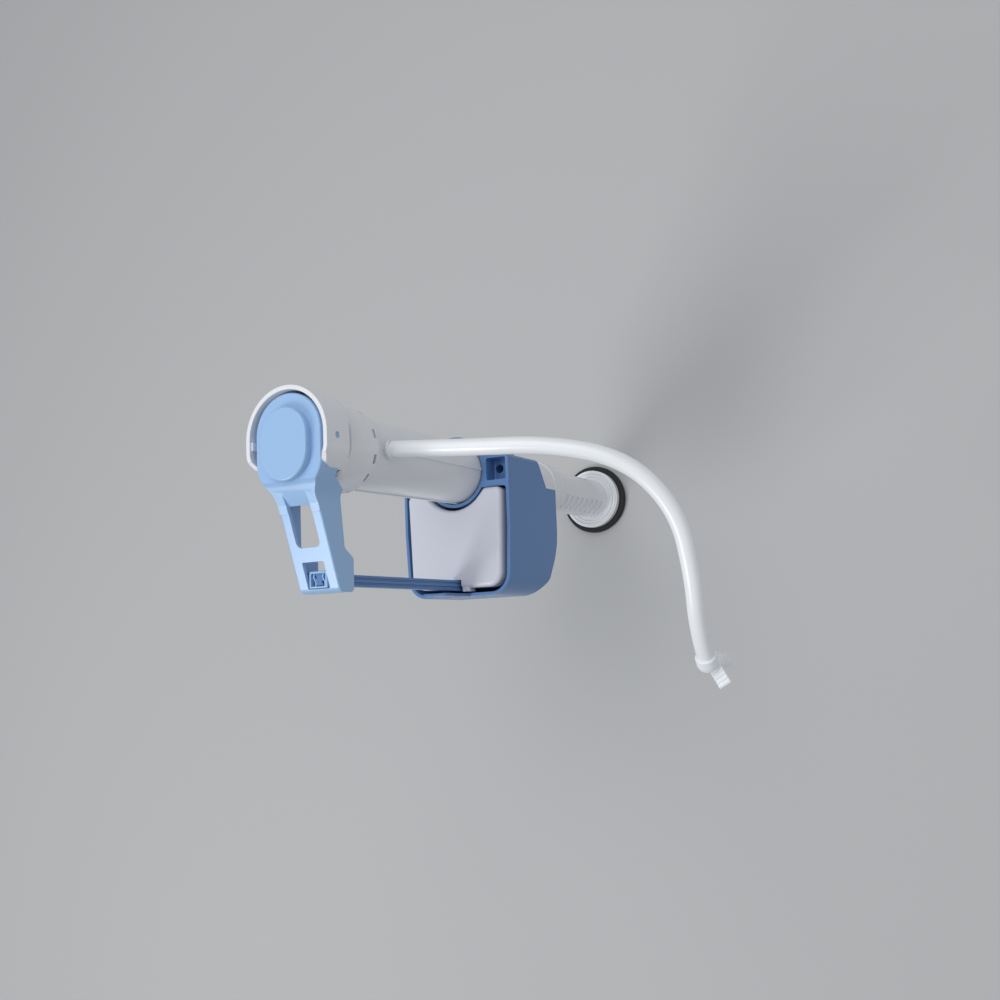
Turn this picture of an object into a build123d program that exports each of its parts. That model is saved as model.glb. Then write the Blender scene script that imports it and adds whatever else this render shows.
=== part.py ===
from build123d import *
import os
from math import cos, degrees, radians, sin, tan

# Side-float toilet fill valve, in millimetres.
# Origin: on the valve's axis, at the plane of the tank's floor. +Z is up the valve, the lever and
# the float lie towards -Y, and the refill nozzle points along +X.

# ---- threaded shank, flange and notched riser ----
SHANK_R = 11.1            # 7/8 in ballcock shank
SHANK_BOTTOM_Z = -52.0
SHANK_CHAMFER = 1.2
SHANK_BORE_R = 6.5        # seat bore for the supply line's cone washer
SHANK_BORE_DEPTH = 14.5
SHANK_WATERWAY_R = 5.0
RELIEF_TOP_Z = -30.0      # break between the tank nut's thread and the supply nut's thread
RELIEF_WIDTH = 2.0
RELIEF_R = 10.2
WASHER_THICK = 4.0        # rubber washer between flange and tank floor
FLANGE_R = 21.0
FLANGE_THICK = 4.0
FLANGE_RIDGE_HEIGHT = 0.9
FLANGE_RIDGE_WIDTH = 1.1
FLANGE_RIDGE_RADII = (19.9, 17.6)
RISER_R = 13.8
RISER_WALL = 2.5
RISER_TOP_Z = 150.0
NOTCH_FIRST_Z = 16.0      # height notches, one every NOTCH_PITCH
NOTCH_PITCH = 7.6
NOTCH_COUNT = 16
NOTCH_DEPTH = 1.1
NOTCH_GAP = 3.0
NOTCH_HALF_ANGLE = 23.0
NOTCH_COLUMN_ANGLES = (-40.0, 140.0, 230.0)

# ---- tank seal, tank nut and inlet parts ----
SEAL_R = 24.6
SEAL_BORE_CLEARANCE = 0.05
SEAL_SPIGOT_R = 13.6      # part of the washer that drops into the tank's hole
SEAL_SPIGOT_DEPTH = 3.0
TANK_FLOOR = 11.0         # thickness of china that the nut clamps
NUT_WASHER_R = 18.0
NUT_WASHER_THICK = 1.6
NUT_CLEARANCE = 0.06
NUT_HEIGHT = 11.0
NUT_HEX = 30.0            # across flats
NUT_FLANGE_R = 18.5
NUT_FLANGE_THICK = 2.5
STRAINER_R = 4.9
STRAINER_LENGTH = 16.0
STRAINER_WALL = 0.9
STRAINER_RIM_R = 5.95
STRAINER_SEAT_CLEARANCE = 0.05
STRAINER_RIM_THICK = 1.5
STRAINER_HOLE_R = 0.9
STRAINER_HOLE_ROWS = 5
STRAINER_HOLES_ROUND = 8
RESTRICTOR_LENGTH = 8.0
RESTRICTOR_BORE_R = 2.6

# ---- inner supply tube, its seals and the valve seat ----
SUPPLY_R = 8.6
SUPPLY_BORE_R = 6.6
SUPPLY_BOTTOM_Z = 62.0
SUPPLY_TOP_Z = 304.0
PISTON_LENGTH = 16.0
PISTON_CLEARANCE = 0.08
ORING_SECTION_R = 1.2
ORING_HEIGHTS = (4.5, 11.5)
SUPPLY_FLANGE_THICK = 3.0
SUPPLY_FLANGE_Z = 298.0
OUTLET_HOLES = 8
OUTLET_HOLE_R = 2.2
SEAT_LIP_R = 7.6
SEAT_TOP_Z = 308.0
SEAT_BORE_R = 5.4

# ---- body tube, refill nozzle and height lock ring ----
BODY_BOTTOM_Z = 88.0
BODY_NECK_TOP_Z = 98.0    # the lock ring turns on the neck below this height
BODY_NECK_WALL = 2.3
BODY_SHOULDER = 0.7       # step from the neck out to the cone's lower end
BODY_CONE_SPREAD = 2.9    # how much wider the cone is under the head
BODY_WALL = 1.9
BODY_CONE_TOP_Z = 298.0
BODY_TOP_Z = 309.5
CHAMBER_WALL = 2.5
GUIDE_CLEARANCE = 0.2     # between the riser and the bore that slides on it
RIB_PROUD = 0.9
RIB_WIDTH = 1.5
RIB_BOTTOM_Z = 156.0
RIB_TOP_Z = 296.0
RING_CLEARANCE = 0.1
RING_WALL = 1.3
RING_BOTTOM_Z = 81.0
RING_LIP = 6.0
NOZZLE_Z = 291.0
NOZZLE_R = 4.3
NOZZLE_COLLAR_R = 5.6
NOZZLE_REACH = 3.1        # from the body's wall to the collar's face, where the hose stops
NOZZLE_COLLAR_THICK = 1.4
NOZZLE_BORE_R = 1.9
BARB_R = 3.1
BARB_LENGTH = 11.0

# ---- diaphragm, its core and the pilot cover ----
DIAPHRAGM_INSET = 1.3     # inside the body's outer wall
DIAPHRAGM_THICK = 1.5
CORE_STEM_R = 2.6
CORE_CLEARANCE = 0.1
CORE_DISC_R = 8.0
CORE_DISC_THICK = 1.4
CORE_FIN_R = 5.2
CORE_FIN_LENGTH = 9.0
CORE_PIN_R = 0.7
CORE_PIN_LENGTH = 6.5
CORE_TRAVEL = 1.4
COVER_INSET = 0.3
COVER_ROOF = 2.4
COVER_ROOM = 3.2
COVER_WALL = 4.1
PILOT_Y = 12.0
PILOT_TUBE_R = 1.8
PILOT_HOLE_R = 0.6
PILOT_TOP_Z = 330.0
PAD_GAP = 2.5
PAD_R = 3.2
PAD_THICK = 2.2

# ---- head shell ----
HEAD_BOTTOM_Z = 303.0
SKIRT_GAP = 0.9           # between the body's wall and the skirt's bore
HEAD_WALL = 1.8           # of the round skirt
HEAD_UPPER_WALL = 2.4
SKIRT_TOP_Z = 326.0
HEAD_FLARE_Z = 331.0
HEAD_OVERHANG = 3.4       # how far the upper part stands out over the skirt
HEAD_BACK_CENTRE_Y = 1.8
HEAD_FRONT_Y = -17.0
HEAD_FRONT_CORNER_R = 13.0
HEAD_RIM_Z = 350.5
HEAD_DROP = ((-9.5, 0.0), (-13.3, 4.0), (-15.2, 9.5), (-16.6, 17.0))  # rim's fall at the front, (y, down)
HEAD_FRONT_SILL_Z = 331.5
HEAD_FRONT_INSET = 1.5    # how much narrower the front opening is than the lever's cap
SNAP_SLOTS = 10
SNAP_SLOT_WIDTH = 5.0
SNAP_SLOT_HEIGHT = 2.2
SNAP_SLOT_RISE = 2.4      # from the skirt's lower edge to the slot's middle
VENT_RING_THICK = 0.6
VENT_RING_HEIGHT = 5.0

# ---- lever ----
PIVOT_Y = 0.5
PIVOT_Z = 342.0
TRUNNION_R = 1.7
TRUNNION_CLEARANCE = 0.05
TRUNNION_INSET = 0.5      # tip of the trunnion below the shell's outer face
CHEEK_R = 4.6
CHEEK_GAP = 0.8
CAP_SIDE_GAP = 2.8        # between the cap and the head's inner wall
CAP_BACK_Y = 24.0
CAP_FRONT_Y = -24.0
CAP_TOP_Z = 349.0
CAP_BOTTOM_Z = 334.9
CAP_SKIN = 2.4
CAP_WALL = 2.2
PAD_TIER_HALF_WIDTH = 14.8
PAD_TIER_BACK_Y = 16.5
PAD_TIER_FRONT_Y = -21.0
PAD_TIER_TOP_Z = 353.0
ARM_HALF_WIDTH = 12.9
ARM_WALL = 2.2
ARM_SKIN = 2.4
ARM_NECK = ((-20.0, 347.0), (-32.0, 341.5))
ARM_END_Y = -75.6
ARM_SLOPE = 0.364
ARM_NECK_BOTTOM_Z = 335.0
ARM_UNDERSIDE = ((-23.8, 324.0), (-53.1, 320.8))    # lower edge of the side walls, as (y, z)
BOX_START_Y = -58.0       # from here out the walls reach down to BOX_BOTTOM_Z
BOX_BOTTOM_Z = 313.7
WINDOW_HALF_WIDTH = 7.5
WINDOW_Y = (-51.0, -33.5)
CLIP_WINDOW_HALF_WIDTH = 7.0
CLIP_WINDOW_Y = (-73.5, -60.0)

# ---- rod, clip and float ----
ROD_Y = -68.8
ROD_WIDTH_Y = 6.2
ROD_THICK_X = 4.6
ROD_TOP_Z = 326.5
ROD_BOTTOM_Z = 188.0
ROD_GROOVE = 0.7
ROD_FIT = 0.08
CLIP_HALF_X = 5.9
CLIP_HALF_Y = 4.4
CLIP_Z = (312.5, 327.5)
PEG_Z = 321.0
PEG_R = 1.4
PEG_REACH = 11.7
PEG_SLOT_PLAY_Y = 2.6
PEG_SLOT_CLEARANCE = 0.35
FLOAT_TOP_Z = 198.0
FLOAT_HEIGHT = 40.0
FLOAT_WALL = 1.6
FLOAT_BACK_Y = -11.5
FLOAT_FRONT_Y = -70.5
FLOAT_SIDE_GAP = 2.3      # between the float and the cup's side walls
FLOAT_CORNER_R = 9.0
FLOAT_EDGE_R = 2.5
FLOAT_NOTCH_GAP = 1.8     # between the float's notch and the cup's collar
FLOAT_SOCKET_WIDTH = 8.0
FLOAT_SOCKET_TAB = 4.0

# ---- float cup and its drain flap ----
CUP_TOP_Z = 195.0
CUP_BOTTOM_Z = 134.0     # the floor is level near the body and rises in steps towards the front
CUP_KEEL = ((-36.0, 0.0), (-52.0, 4.5), (-66.0, 11.5), (-76.5, 24.0))
CUP_WALL = 2.0
CUP_HALF_WIDTH = 37.5
CUP_TAPER = 1.9           # how much narrower each side is at the front
CUP_TAPER_Y = -35.0
CUP_FRONT_Y = -75.5
CUP_CORNER_R = 13.0
CUP_BACK_Y = 8.0
TUB_BACK_Y = -9.0
EAR_BOTTOM_Z = 148.0
EAR_SLOPE_RISE = 10.5      # how much higher the ears' underside is at the back
COLLAR_WALL = 2.0
COLLAR_CLEARANCE = 0.16
POCKET_DEPTH = 10.0
POCKET_WALL = 1.8
POCKET_HOLE_R = 2.6
POCKET_HOLE_Y = 0.5
POCKET_HOLE_OUT = 4.4     # from the collar's outer wall to the hole's middle
TONGUE_HALF_WIDTH = 8.0
TONGUE_THICK = 1.6
TONGUE_TOP_Z = 222.0
FLAP_X = 18.0
FLAP_Y = -29.5
FLAP_HOLE_R = 4.0
FLAP_R = 6.0
FLAP_THICK = 1.2
FLAP_GAP = 0.3
FLAP_HINGE_Y = -21.0
FLAP_PIN_R = 0.9
FLAP_HALF_WIDTH = 5.0
FLAP_LUG_THICK = 1.6

# ---- refill hose and the elbow on its end ----
HOSE_R = 4.5
HOSE_ROUTE = (
    (66.0, -4.2, 291.0),
    (113.0, -7.2, 285.5),
    (149.5, -17.5, 273.5),
    (169.5, -43.5, 261.5),
    (172.0, -75.5, 252.5),
    (168.5, -100.5, 241.5),
    (166.8, -114.5, 228.5),
)
ELBOW_R = 5.6
ELBOW_DROP = 26.0
ELBOW_OUTLET_R = 4.0
ELBOW_OUTLET_LENGTH = 16.0
ELBOW_BORE_R = 2.2
ELBOW_CLIP_REACH = 14.0
ELBOW_CLIP_THICK = 1.8
ELBOW_CLIP_WIDTH = 7.0

# ---- values that follow from the ones above ----
FLANGE_TOP_Z = WASHER_THICK + FLANGE_THICK
RISER_BORE_R = RISER_R - RISER_WALL
BODY_NECK_R = RISER_R + GUIDE_CLEARANCE + BODY_NECK_WALL
BODY_LOW_R = BODY_NECK_R + BODY_SHOULDER
BODY_HIGH_R = BODY_LOW_R + BODY_CONE_SPREAD
CONE_SLOPE = BODY_CONE_SPREAD / (BODY_CONE_TOP_Z - BODY_NECK_TOP_Z)
CHAMBER_BORE_R = BODY_HIGH_R - CHAMBER_WALL
RING_R = BODY_NECK_R + RING_CLEARANCE + RING_WALL
NOZZLE_COLLAR_X = BODY_HIGH_R + NOZZLE_REACH
HOSE_POINTS = ((NOZZLE_COLLAR_X, 0.0, NOZZLE_Z), *HOSE_ROUTE)
DIAPHRAGM_R = BODY_HIGH_R - DIAPHRAGM_INSET
COVER_R = BODY_HIGH_R - COVER_INSET
COVER_BORE_R = COVER_R - COVER_WALL
SKIRT_BORE_R = BODY_HIGH_R + SKIRT_GAP
SKIRT_R = SKIRT_BORE_R + HEAD_WALL
HEAD_R = SKIRT_R + HEAD_OVERHANG
HEAD_INNER_R = HEAD_R - HEAD_UPPER_WALL
CAP_HALF_WIDTH = HEAD_INNER_R - CAP_SIDE_GAP
HEAD_FRONT_OPENING = 2 * (CAP_HALF_WIDTH - HEAD_FRONT_INSET)
COLLAR_SEAT_R = BODY_LOW_R + CONE_SLOPE * (RIB_BOTTOM_Z - BODY_NECK_TOP_Z) + COLLAR_CLEARANCE
COLLAR_BORE_R = COLLAR_CLEARANCE * 2 + BODY_LOW_R + CONE_SLOPE * (CUP_TOP_Z - BODY_NECK_TOP_Z) + RIB_PROUD
COLLAR_R = COLLAR_BORE_R + COLLAR_WALL
POCKET_X = (COLLAR_R - 0.6, CUP_HALF_WIDTH - POCKET_WALL)
POCKET_HOLE = (COLLAR_R + POCKET_HOLE_OUT, POCKET_HOLE_Y)
CUP_FRONT_HALF_WIDTH = CUP_HALF_WIDTH - CUP_TAPER
FLOAT_HALF_WIDTH = CUP_HALF_WIDTH - CUP_WALL - FLOAT_SIDE_GAP
FLOAT_FRONT_HALF_WIDTH = CUP_FRONT_HALF_WIDTH - CUP_WALL - FLOAT_SIDE_GAP
FLOAT_NOTCH_R = COLLAR_R + FLOAT_NOTCH_GAP
WATERWAY_TOP_Z = FLANGE_TOP_Z - 3.0
NUT_WASHER_TOP_Z = -TANK_FLOOR
NUT_TOP_Z = NUT_WASHER_TOP_Z - NUT_WASHER_THICK
DIAPHRAGM_TOP_Z = BODY_TOP_Z + DIAPHRAGM_THICK
COVER_TOP_Z = DIAPHRAGM_TOP_Z + COVER_ROOM + COVER_ROOF
ARM_END_TOP_Z = ARM_NECK[1][1] + (ARM_END_Y - ARM_NECK[1][0]) * ARM_SLOPE


def drum(radius, low, high):
    """Solid cylinder on the valve's axis between two heights."""
    return Pos(0, 0, low) * Cylinder(radius, high - low, align=(Align.CENTER, Align.CENTER, Align.MIN))


def ring(outer, inner, low, high):
    """Tube on the valve's axis between two heights."""
    return drum(outer, low, high) - drum(inner, low - 1, high + 1)


def taper(low_radius, high_radius, low, high):
    """Cone frustum on the valve's axis between two heights."""
    return Pos(0, 0, low) * Cone(
        low_radius, high_radius, high - low, align=(Align.CENTER, Align.CENTER, Align.MIN)
    )


def block(x, y, z):
    """Box between the given pairs of coordinates."""
    size = Box(x[1] - x[0], y[1] - y[0], z[1] - z[0])
    return Pos((x[0] + x[1]) / 2, (y[0] + y[1]) / 2, (z[0] + z[1]) / 2) * size


def upright(sketch, low, high):
    """Prism of a plan sketch between two heights."""
    return extrude(Pos(0, 0, low) * sketch, high - low)


def side_prism(points, half_width):
    """Prism across the lever of an outline given as (y, z) points."""
    face = make_face(Plane.YZ * Polyline(*points, close=True))
    return extrude(face, half_width, both=True)


def stadium(half_width, front, back):
    """Plan sketch with straight sides and two half-round ends along Y."""
    middle = Pos(0, (front + back) / 2) * Rectangle(2 * half_width, back - front - 2 * half_width)
    ends = [Pos(0, y) * Circle(half_width) for y in (front + half_width, back - half_width)]
    return middle + ends[0] + ends[1]


def rod_along_x(radius, low, high, y, z):
    """Cylinder along X between two x values."""
    return Pos((low + high) / 2, y, z) * Rot(0, 90, 0) * Cylinder(radius, high - low)


def lower_riser():
    """Threaded shank, flange and notched riser, moulded as one piece."""
    body = drum(SHANK_R, SHANK_BOTTOM_Z, WASHER_THICK)
    body = chamfer(body.faces().sort_by(Axis.Z)[0].edges(), SHANK_CHAMFER)
    body -= ring(SHANK_R + 1, RELIEF_R, RELIEF_TOP_Z - RELIEF_WIDTH, RELIEF_TOP_Z)
    body += drum(FLANGE_R, WASHER_THICK, FLANGE_TOP_Z)
    for radius in FLANGE_RIDGE_RADII:
        top = FLANGE_TOP_Z + FLANGE_RIDGE_HEIGHT
        body += ring(radius, radius - FLANGE_RIDGE_WIDTH, FLANGE_TOP_Z - 0.5, top)
    body += drum(RISER_R, FLANGE_TOP_Z - 0.5, RISER_TOP_Z)
    body -= drum(RISER_BORE_R, WATERWAY_TOP_Z, RISER_TOP_Z + 1)
    body -= drum(SHANK_WATERWAY_R, SHANK_BOTTOM_Z - 1, WATERWAY_TOP_Z + 1)
    bore_top = SHANK_BOTTOM_Z + SHANK_BORE_DEPTH
    body -= drum(SHANK_BORE_R, SHANK_BOTTOM_Z - 1, bore_top)
    body -= drum(STRAINER_RIM_R + STRAINER_SEAT_CLEARANCE, bore_top - 1, bore_top + STRAINER_RIM_THICK)
    reach = 2 * RISER_R
    spread = reach * tan(radians(NOTCH_HALF_ANGLE))
    wedge = make_face(Polyline((0, 0), (reach, -spread), (reach, spread), close=True))
    floor_r = RISER_R - NOTCH_DEPTH
    for angle in NOTCH_COLUMN_ANGLES:
        for step in range(NOTCH_COUNT):
            low = NOTCH_FIRST_Z + step * NOTCH_PITCH
            cutter = ring(RISER_R + 1, floor_r, low, low + NOTCH_GAP)
            body -= cutter & (Rot(0, 0, angle) * upright(wedge, low - 1, low + NOTCH_GAP + 1))
    return body


def seal_washer():
    """Rubber washer under the flange, with a spigot that centres it in the tank's hole."""
    bore = SHANK_R + SEAL_BORE_CLEARANCE
    washer = ring(SEAL_R, bore, 0, WASHER_THICK)
    return washer + ring(SEAL_SPIGOT_R, bore, -SEAL_SPIGOT_DEPTH, 0)


def friction_washer():
    """Flat plastic washer between the tank's underside and the nut."""
    low = NUT_WASHER_TOP_Z - NUT_WASHER_THICK
    return ring(NUT_WASHER_R, SHANK_R + NUT_CLEARANCE, low, NUT_WASHER_TOP_Z)


def lock_nut():
    """Hexagonal tank nut with a round flange."""
    low = NUT_TOP_Z - NUT_HEIGHT
    hexagon = RegularPolygon(NUT_HEX / 2, 6, major_radius=False)
    nut = upright(hexagon, low, NUT_TOP_Z)
    nut += drum(NUT_FLANGE_R, NUT_TOP_Z - NUT_FLANGE_THICK, NUT_TOP_Z)
    return nut - drum(SHANK_R + NUT_CLEARANCE, low - 1, NUT_TOP_Z + 1)


def inlet_strainer():
    """Basket strainer that stands in the shank's waterway."""
    rim_low = SHANK_BOTTOM_Z + SHANK_BORE_DEPTH
    low = rim_low
    high = low + STRAINER_LENGTH
    basket = drum(STRAINER_R, low, high) - drum(STRAINER_R - STRAINER_WALL, low - 1, high - 1)
    basket += ring(STRAINER_RIM_R, STRAINER_R - STRAINER_WALL, rim_low, rim_low + STRAINER_RIM_THICK)
    for row in range(STRAINER_HOLE_ROWS):
        z = low + 3.2 + row * 2.4
        for step in range(STRAINER_HOLES_ROUND):
            angle = 360 * step / STRAINER_HOLES_ROUND
            hole = rod_along_x(STRAINER_HOLE_R, STRAINER_R - 2, STRAINER_R + 1, 0, z)
            basket -= Rot(0, 0, angle) * hole
    return basket


def flow_restrictor():
    """Short plug with a narrow bore, above the strainer in the waterway."""
    high = WATERWAY_TOP_Z - 4
    body = ring(SHANK_WATERWAY_R - 0.05, RESTRICTOR_BORE_R, high - RESTRICTOR_LENGTH, high)
    return chamfer(body.faces().sort_by(Axis.Z)[-1].edges().sort_by(SortBy.LENGTH)[0], 1.0)


def supply_tube():
    """Inner tube that telescopes in the riser and carries the water up to the seat."""
    piston_r = RISER_BORE_R - PISTON_CLEARANCE
    tube = drum(SUPPLY_R, SUPPLY_BOTTOM_Z, SUPPLY_TOP_Z)
    tube += drum(piston_r, SUPPLY_BOTTOM_Z, SUPPLY_BOTTOM_Z + PISTON_LENGTH)
    flange = drum(CHAMBER_BORE_R - 0.1, SUPPLY_FLANGE_Z, SUPPLY_FLANGE_Z + SUPPLY_FLANGE_THICK)
    hole_circle = (SUPPLY_R + CHAMBER_BORE_R) / 2
    for step in range(OUTLET_HOLES):
        spot = Rot(0, 0, 360 * step / OUTLET_HOLES) * Pos(hole_circle, 0, SUPPLY_FLANGE_Z)
        flange -= spot * Cylinder(OUTLET_HOLE_R, 4 * SUPPLY_FLANGE_THICK)
    tube += flange
    tube -= drum(SUPPLY_BORE_R, SUPPLY_BOTTOM_Z - 1, SUPPLY_TOP_Z + 1)
    groove_floor = RISER_BORE_R - 2 * ORING_SECTION_R
    for height in ORING_HEIGHTS:
        low = SUPPLY_BOTTOM_Z + height - ORING_SECTION_R - 0.1
        tube -= ring(RISER_BORE_R + 1, groove_floor, low, low + 2 * ORING_SECTION_R + 0.2)
    return tube


def supply_orings():
    """Two rubber rings in the piston's grooves, sealing on the riser's bore."""
    middle = RISER_BORE_R - ORING_SECTION_R - 0.02
    rings = [Pos(0, 0, SUPPLY_BOTTOM_Z + h) * Torus(middle, ORING_SECTION_R - 0.02) for h in ORING_HEIGHTS]
    return Compound(children=rings)


def valve_seat():
    """Seat insert in the top of the supply tube, with the lip that the diaphragm closes on."""
    seat = ring(SEAT_LIP_R, SEAT_BORE_R, SUPPLY_TOP_Z, SEAT_TOP_Z - 1)
    seat += taper(SEAT_LIP_R, SEAT_BORE_R + 0.9, SEAT_TOP_Z - 1, SEAT_TOP_Z)
    seat += drum(SUPPLY_BORE_R - 0.03, SUPPLY_TOP_Z - 8, SUPPLY_TOP_Z)
    return seat - drum(SEAT_BORE_R, SUPPLY_TOP_Z - 9, SEAT_TOP_Z + 1)


def body_tube():
    """Outer body: a long cone with four ribs, a neck for the lock ring and a valve chamber."""
    body = drum(BODY_NECK_R, BODY_BOTTOM_Z, BODY_NECK_TOP_Z)
    body += taper(BODY_LOW_R, BODY_HIGH_R, BODY_NECK_TOP_Z, BODY_CONE_TOP_Z)
    body += drum(BODY_HIGH_R, BODY_CONE_TOP_Z, BODY_TOP_Z)
    low_r = BODY_LOW_R + CONE_SLOPE * (RIB_BOTTOM_Z - BODY_NECK_TOP_Z) + RIB_PROUD
    high_r = BODY_LOW_R + CONE_SLOPE * (RIB_TOP_Z - BODY_NECK_TOP_Z) + RIB_PROUD
    ribs = taper(low_r, high_r, RIB_BOTTOM_Z, RIB_TOP_Z)
    half = RIB_WIDTH / 2
    span = (-BODY_HIGH_R - 5, BODY_HIGH_R + 5)
    height = (RIB_BOTTOM_Z - 1, RIB_TOP_Z + 1)
    ribs &= block(span, (-half, half), height) + block((-half, half), span, height)
    body += ribs
    guide_top = BODY_NECK_TOP_Z + 6
    shelf = SUPPLY_FLANGE_Z
    body -= drum(RISER_R + GUIDE_CLEARANCE, BODY_BOTTOM_Z - 1, guide_top)
    body -= taper(BODY_LOW_R - BODY_WALL, BODY_HIGH_R - BODY_WALL - 1.6, guide_top, shelf)
    body -= drum(CHAMBER_BORE_R, shelf, BODY_TOP_Z + 1)
    body -= rod_along_x(NOZZLE_R, 10, 30, 0, NOZZLE_Z)
    return body


def refill_nozzle():
    """Push-in nozzle with a collar, and the barb that the hose is pushed over."""
    inner_x = BODY_HIGH_R - BODY_WALL
    nozzle = rod_along_x(NOZZLE_R - 0.03, inner_x, NOZZLE_COLLAR_X - NOZZLE_COLLAR_THICK, 0, NOZZLE_Z)
    collar_x = NOZZLE_COLLAR_X - NOZZLE_COLLAR_THICK
    nozzle += rod_along_x(NOZZLE_COLLAR_R, collar_x, NOZZLE_COLLAR_X, 0, NOZZLE_Z)
    nozzle += rod_along_x(BARB_R, NOZZLE_COLLAR_X, NOZZLE_COLLAR_X + BARB_LENGTH, 0, NOZZLE_Z)
    tip = NOZZLE_COLLAR_X + BARB_LENGTH
    return nozzle - rod_along_x(NOZZLE_BORE_R, inner_x - 1, tip + 1, 0, NOZZLE_Z)


def height_lock_ring():
    """Collar that turns on the body's neck and locks it to the riser at the chosen height."""
    lip_top = RING_BOTTOM_Z + RING_LIP
    collar = drum(RING_R, RING_BOTTOM_Z, BODY_NECK_TOP_Z - RING_CLEARANCE)
    collar = fillet(collar.edges().sort_by(Axis.Z)[0], 2.0)
    collar -= drum(BODY_NECK_R + RING_CLEARANCE, lip_top, BODY_NECK_TOP_Z + 1)
    return collar - drum(RISER_R + GUIDE_CLEARANCE, RING_BOTTOM_Z - 1, lip_top + 1)


def diaphragm():
    """Rubber disc clamped at its rim between the body and the pilot cover."""
    return ring(DIAPHRAGM_R, CORE_STEM_R + CORE_CLEARANCE, BODY_TOP_Z, DIAPHRAGM_TOP_Z)


def diaphragm_core():
    """Plastic core of the diaphragm: disc, stem, guide fins and bleed pin."""
    core = drum(CORE_DISC_R, DIAPHRAGM_TOP_Z, DIAPHRAGM_TOP_Z + CORE_DISC_THICK)
    core += drum(CORE_STEM_R, BODY_TOP_Z - CORE_FIN_LENGTH, DIAPHRAGM_TOP_Z + 0.1)
    fin_span = (-CORE_FIN_R, CORE_FIN_R)
    fin_z = (BODY_TOP_Z - CORE_FIN_LENGTH, BODY_TOP_Z - 0.1)
    core += block(fin_span, (-0.6, 0.6), fin_z) + block((-0.6, 0.6), fin_span, fin_z)
    pin_low = DIAPHRAGM_TOP_Z + CORE_DISC_THICK - 0.1
    return core + drum(CORE_PIN_R, pin_low, pin_low + CORE_PIN_LENGTH)


def pilot_cover():
    """Cover that clamps the diaphragm and holds the pilot nozzle."""
    cover = drum(COVER_R, DIAPHRAGM_TOP_Z, COVER_TOP_Z)
    cover = fillet(cover.edges().sort_by(Axis.Z)[-1], 1.2)
    cover -= drum(COVER_BORE_R, DIAPHRAGM_TOP_Z - 1, DIAPHRAGM_TOP_Z + COVER_ROOM)
    cover += Pos(0, PILOT_Y, 0) * taper(2 * PILOT_TUBE_R, PILOT_TUBE_R, COVER_TOP_Z - 0.5, PILOT_TOP_Z)
    cover -= Pos(0, PILOT_Y, 0) * drum(PILOT_HOLE_R, DIAPHRAGM_TOP_Z, PILOT_TOP_Z + 1)
    return cover - drum(CORE_PIN_R + CORE_CLEARANCE, DIAPHRAGM_TOP_Z, COVER_TOP_Z + 1)


def anti_siphon_ring():
    """Thin rubber cuff inside the head's snap slots."""
    high = HEAD_BOTTOM_Z + VENT_RING_HEIGHT
    return ring(BODY_HIGH_R + VENT_RING_THICK, BODY_HIGH_R + 0.02, HEAD_BOTTOM_Z, high)


def head_plan(inset):
    """Plan of the head's upper part: round at the back, softly squared at the front."""
    radius = HEAD_R - inset
    front = HEAD_FRONT_Y + inset
    length = HEAD_BACK_CENTRE_Y - front
    front_part = Pos(0, front + length / 2) * Rectangle(2 * radius, length)
    corners = front_part.vertices().sort_by(Axis.Y)[:2]
    front_part = fillet(corners, HEAD_FRONT_CORNER_R - inset)
    back_round = Pos(0, HEAD_BACK_CENTRE_Y) * Circle(radius)
    behind = Pos(0, HEAD_BACK_CENTRE_Y + radius) * Rectangle(2 * radius, 2 * radius)
    return front_part + (back_round & behind)


def head_shell():
    """White head: round skirt with snap slots, and an open-topped housing for the lever."""
    shell = upright(head_plan(0), HEAD_FLARE_Z, HEAD_RIM_Z)
    shell += loft([Pos(0, 0, SKIRT_TOP_Z) * Circle(SKIRT_R), Pos(0, 0, HEAD_FLARE_Z) * Circle(HEAD_R - 3)])
    shell += upright(head_plan(0), HEAD_FLARE_Z - 2.4, HEAD_FLARE_Z)
    shell += drum(SKIRT_R, HEAD_BOTTOM_Z, SKIRT_TOP_Z)
    shell -= drum(SKIRT_BORE_R, HEAD_BOTTOM_Z - 1, SKIRT_TOP_Z)
    shell -= drum(SKIRT_BORE_R - 1.2, SKIRT_TOP_Z - 1, HEAD_FLARE_Z + 1)
    shell -= upright(head_plan(HEAD_UPPER_WALL), HEAD_FLARE_Z, HEAD_RIM_Z + 1)
    half = HEAD_FRONT_OPENING / 2
    shell -= block((-half, half), (HEAD_FRONT_Y - 1, 0), (HEAD_FRONT_SILL_Z, HEAD_RIM_Z + 1))
    low_z = HEAD_RIM_Z - HEAD_DROP[-1][1]
    fall = [(y, HEAD_RIM_Z - down) for y, down in HEAD_DROP]
    above = [(-30.0, low_z), (-30.0, HEAD_RIM_Z + 5), (HEAD_DROP[0][0], HEAD_RIM_Z + 5)]
    shell -= side_prism((*fall, *above), 2 * HEAD_R)
    hole_r = TRUNNION_R + TRUNNION_CLEARANCE
    shell -= rod_along_x(hole_r, -HEAD_R - 1, HEAD_R + 1, PIVOT_Y, PIVOT_Z)
    for step in range(SNAP_SLOTS):
        angle = 360 * (step + 0.5) / SNAP_SLOTS
        slot = Pos(SKIRT_R, 0, HEAD_BOTTOM_Z + SNAP_SLOT_RISE) * Box(6, SNAP_SLOT_WIDTH, SNAP_SLOT_HEIGHT)
        shell -= Rot(0, 0, angle) * slot
    return shell


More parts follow.
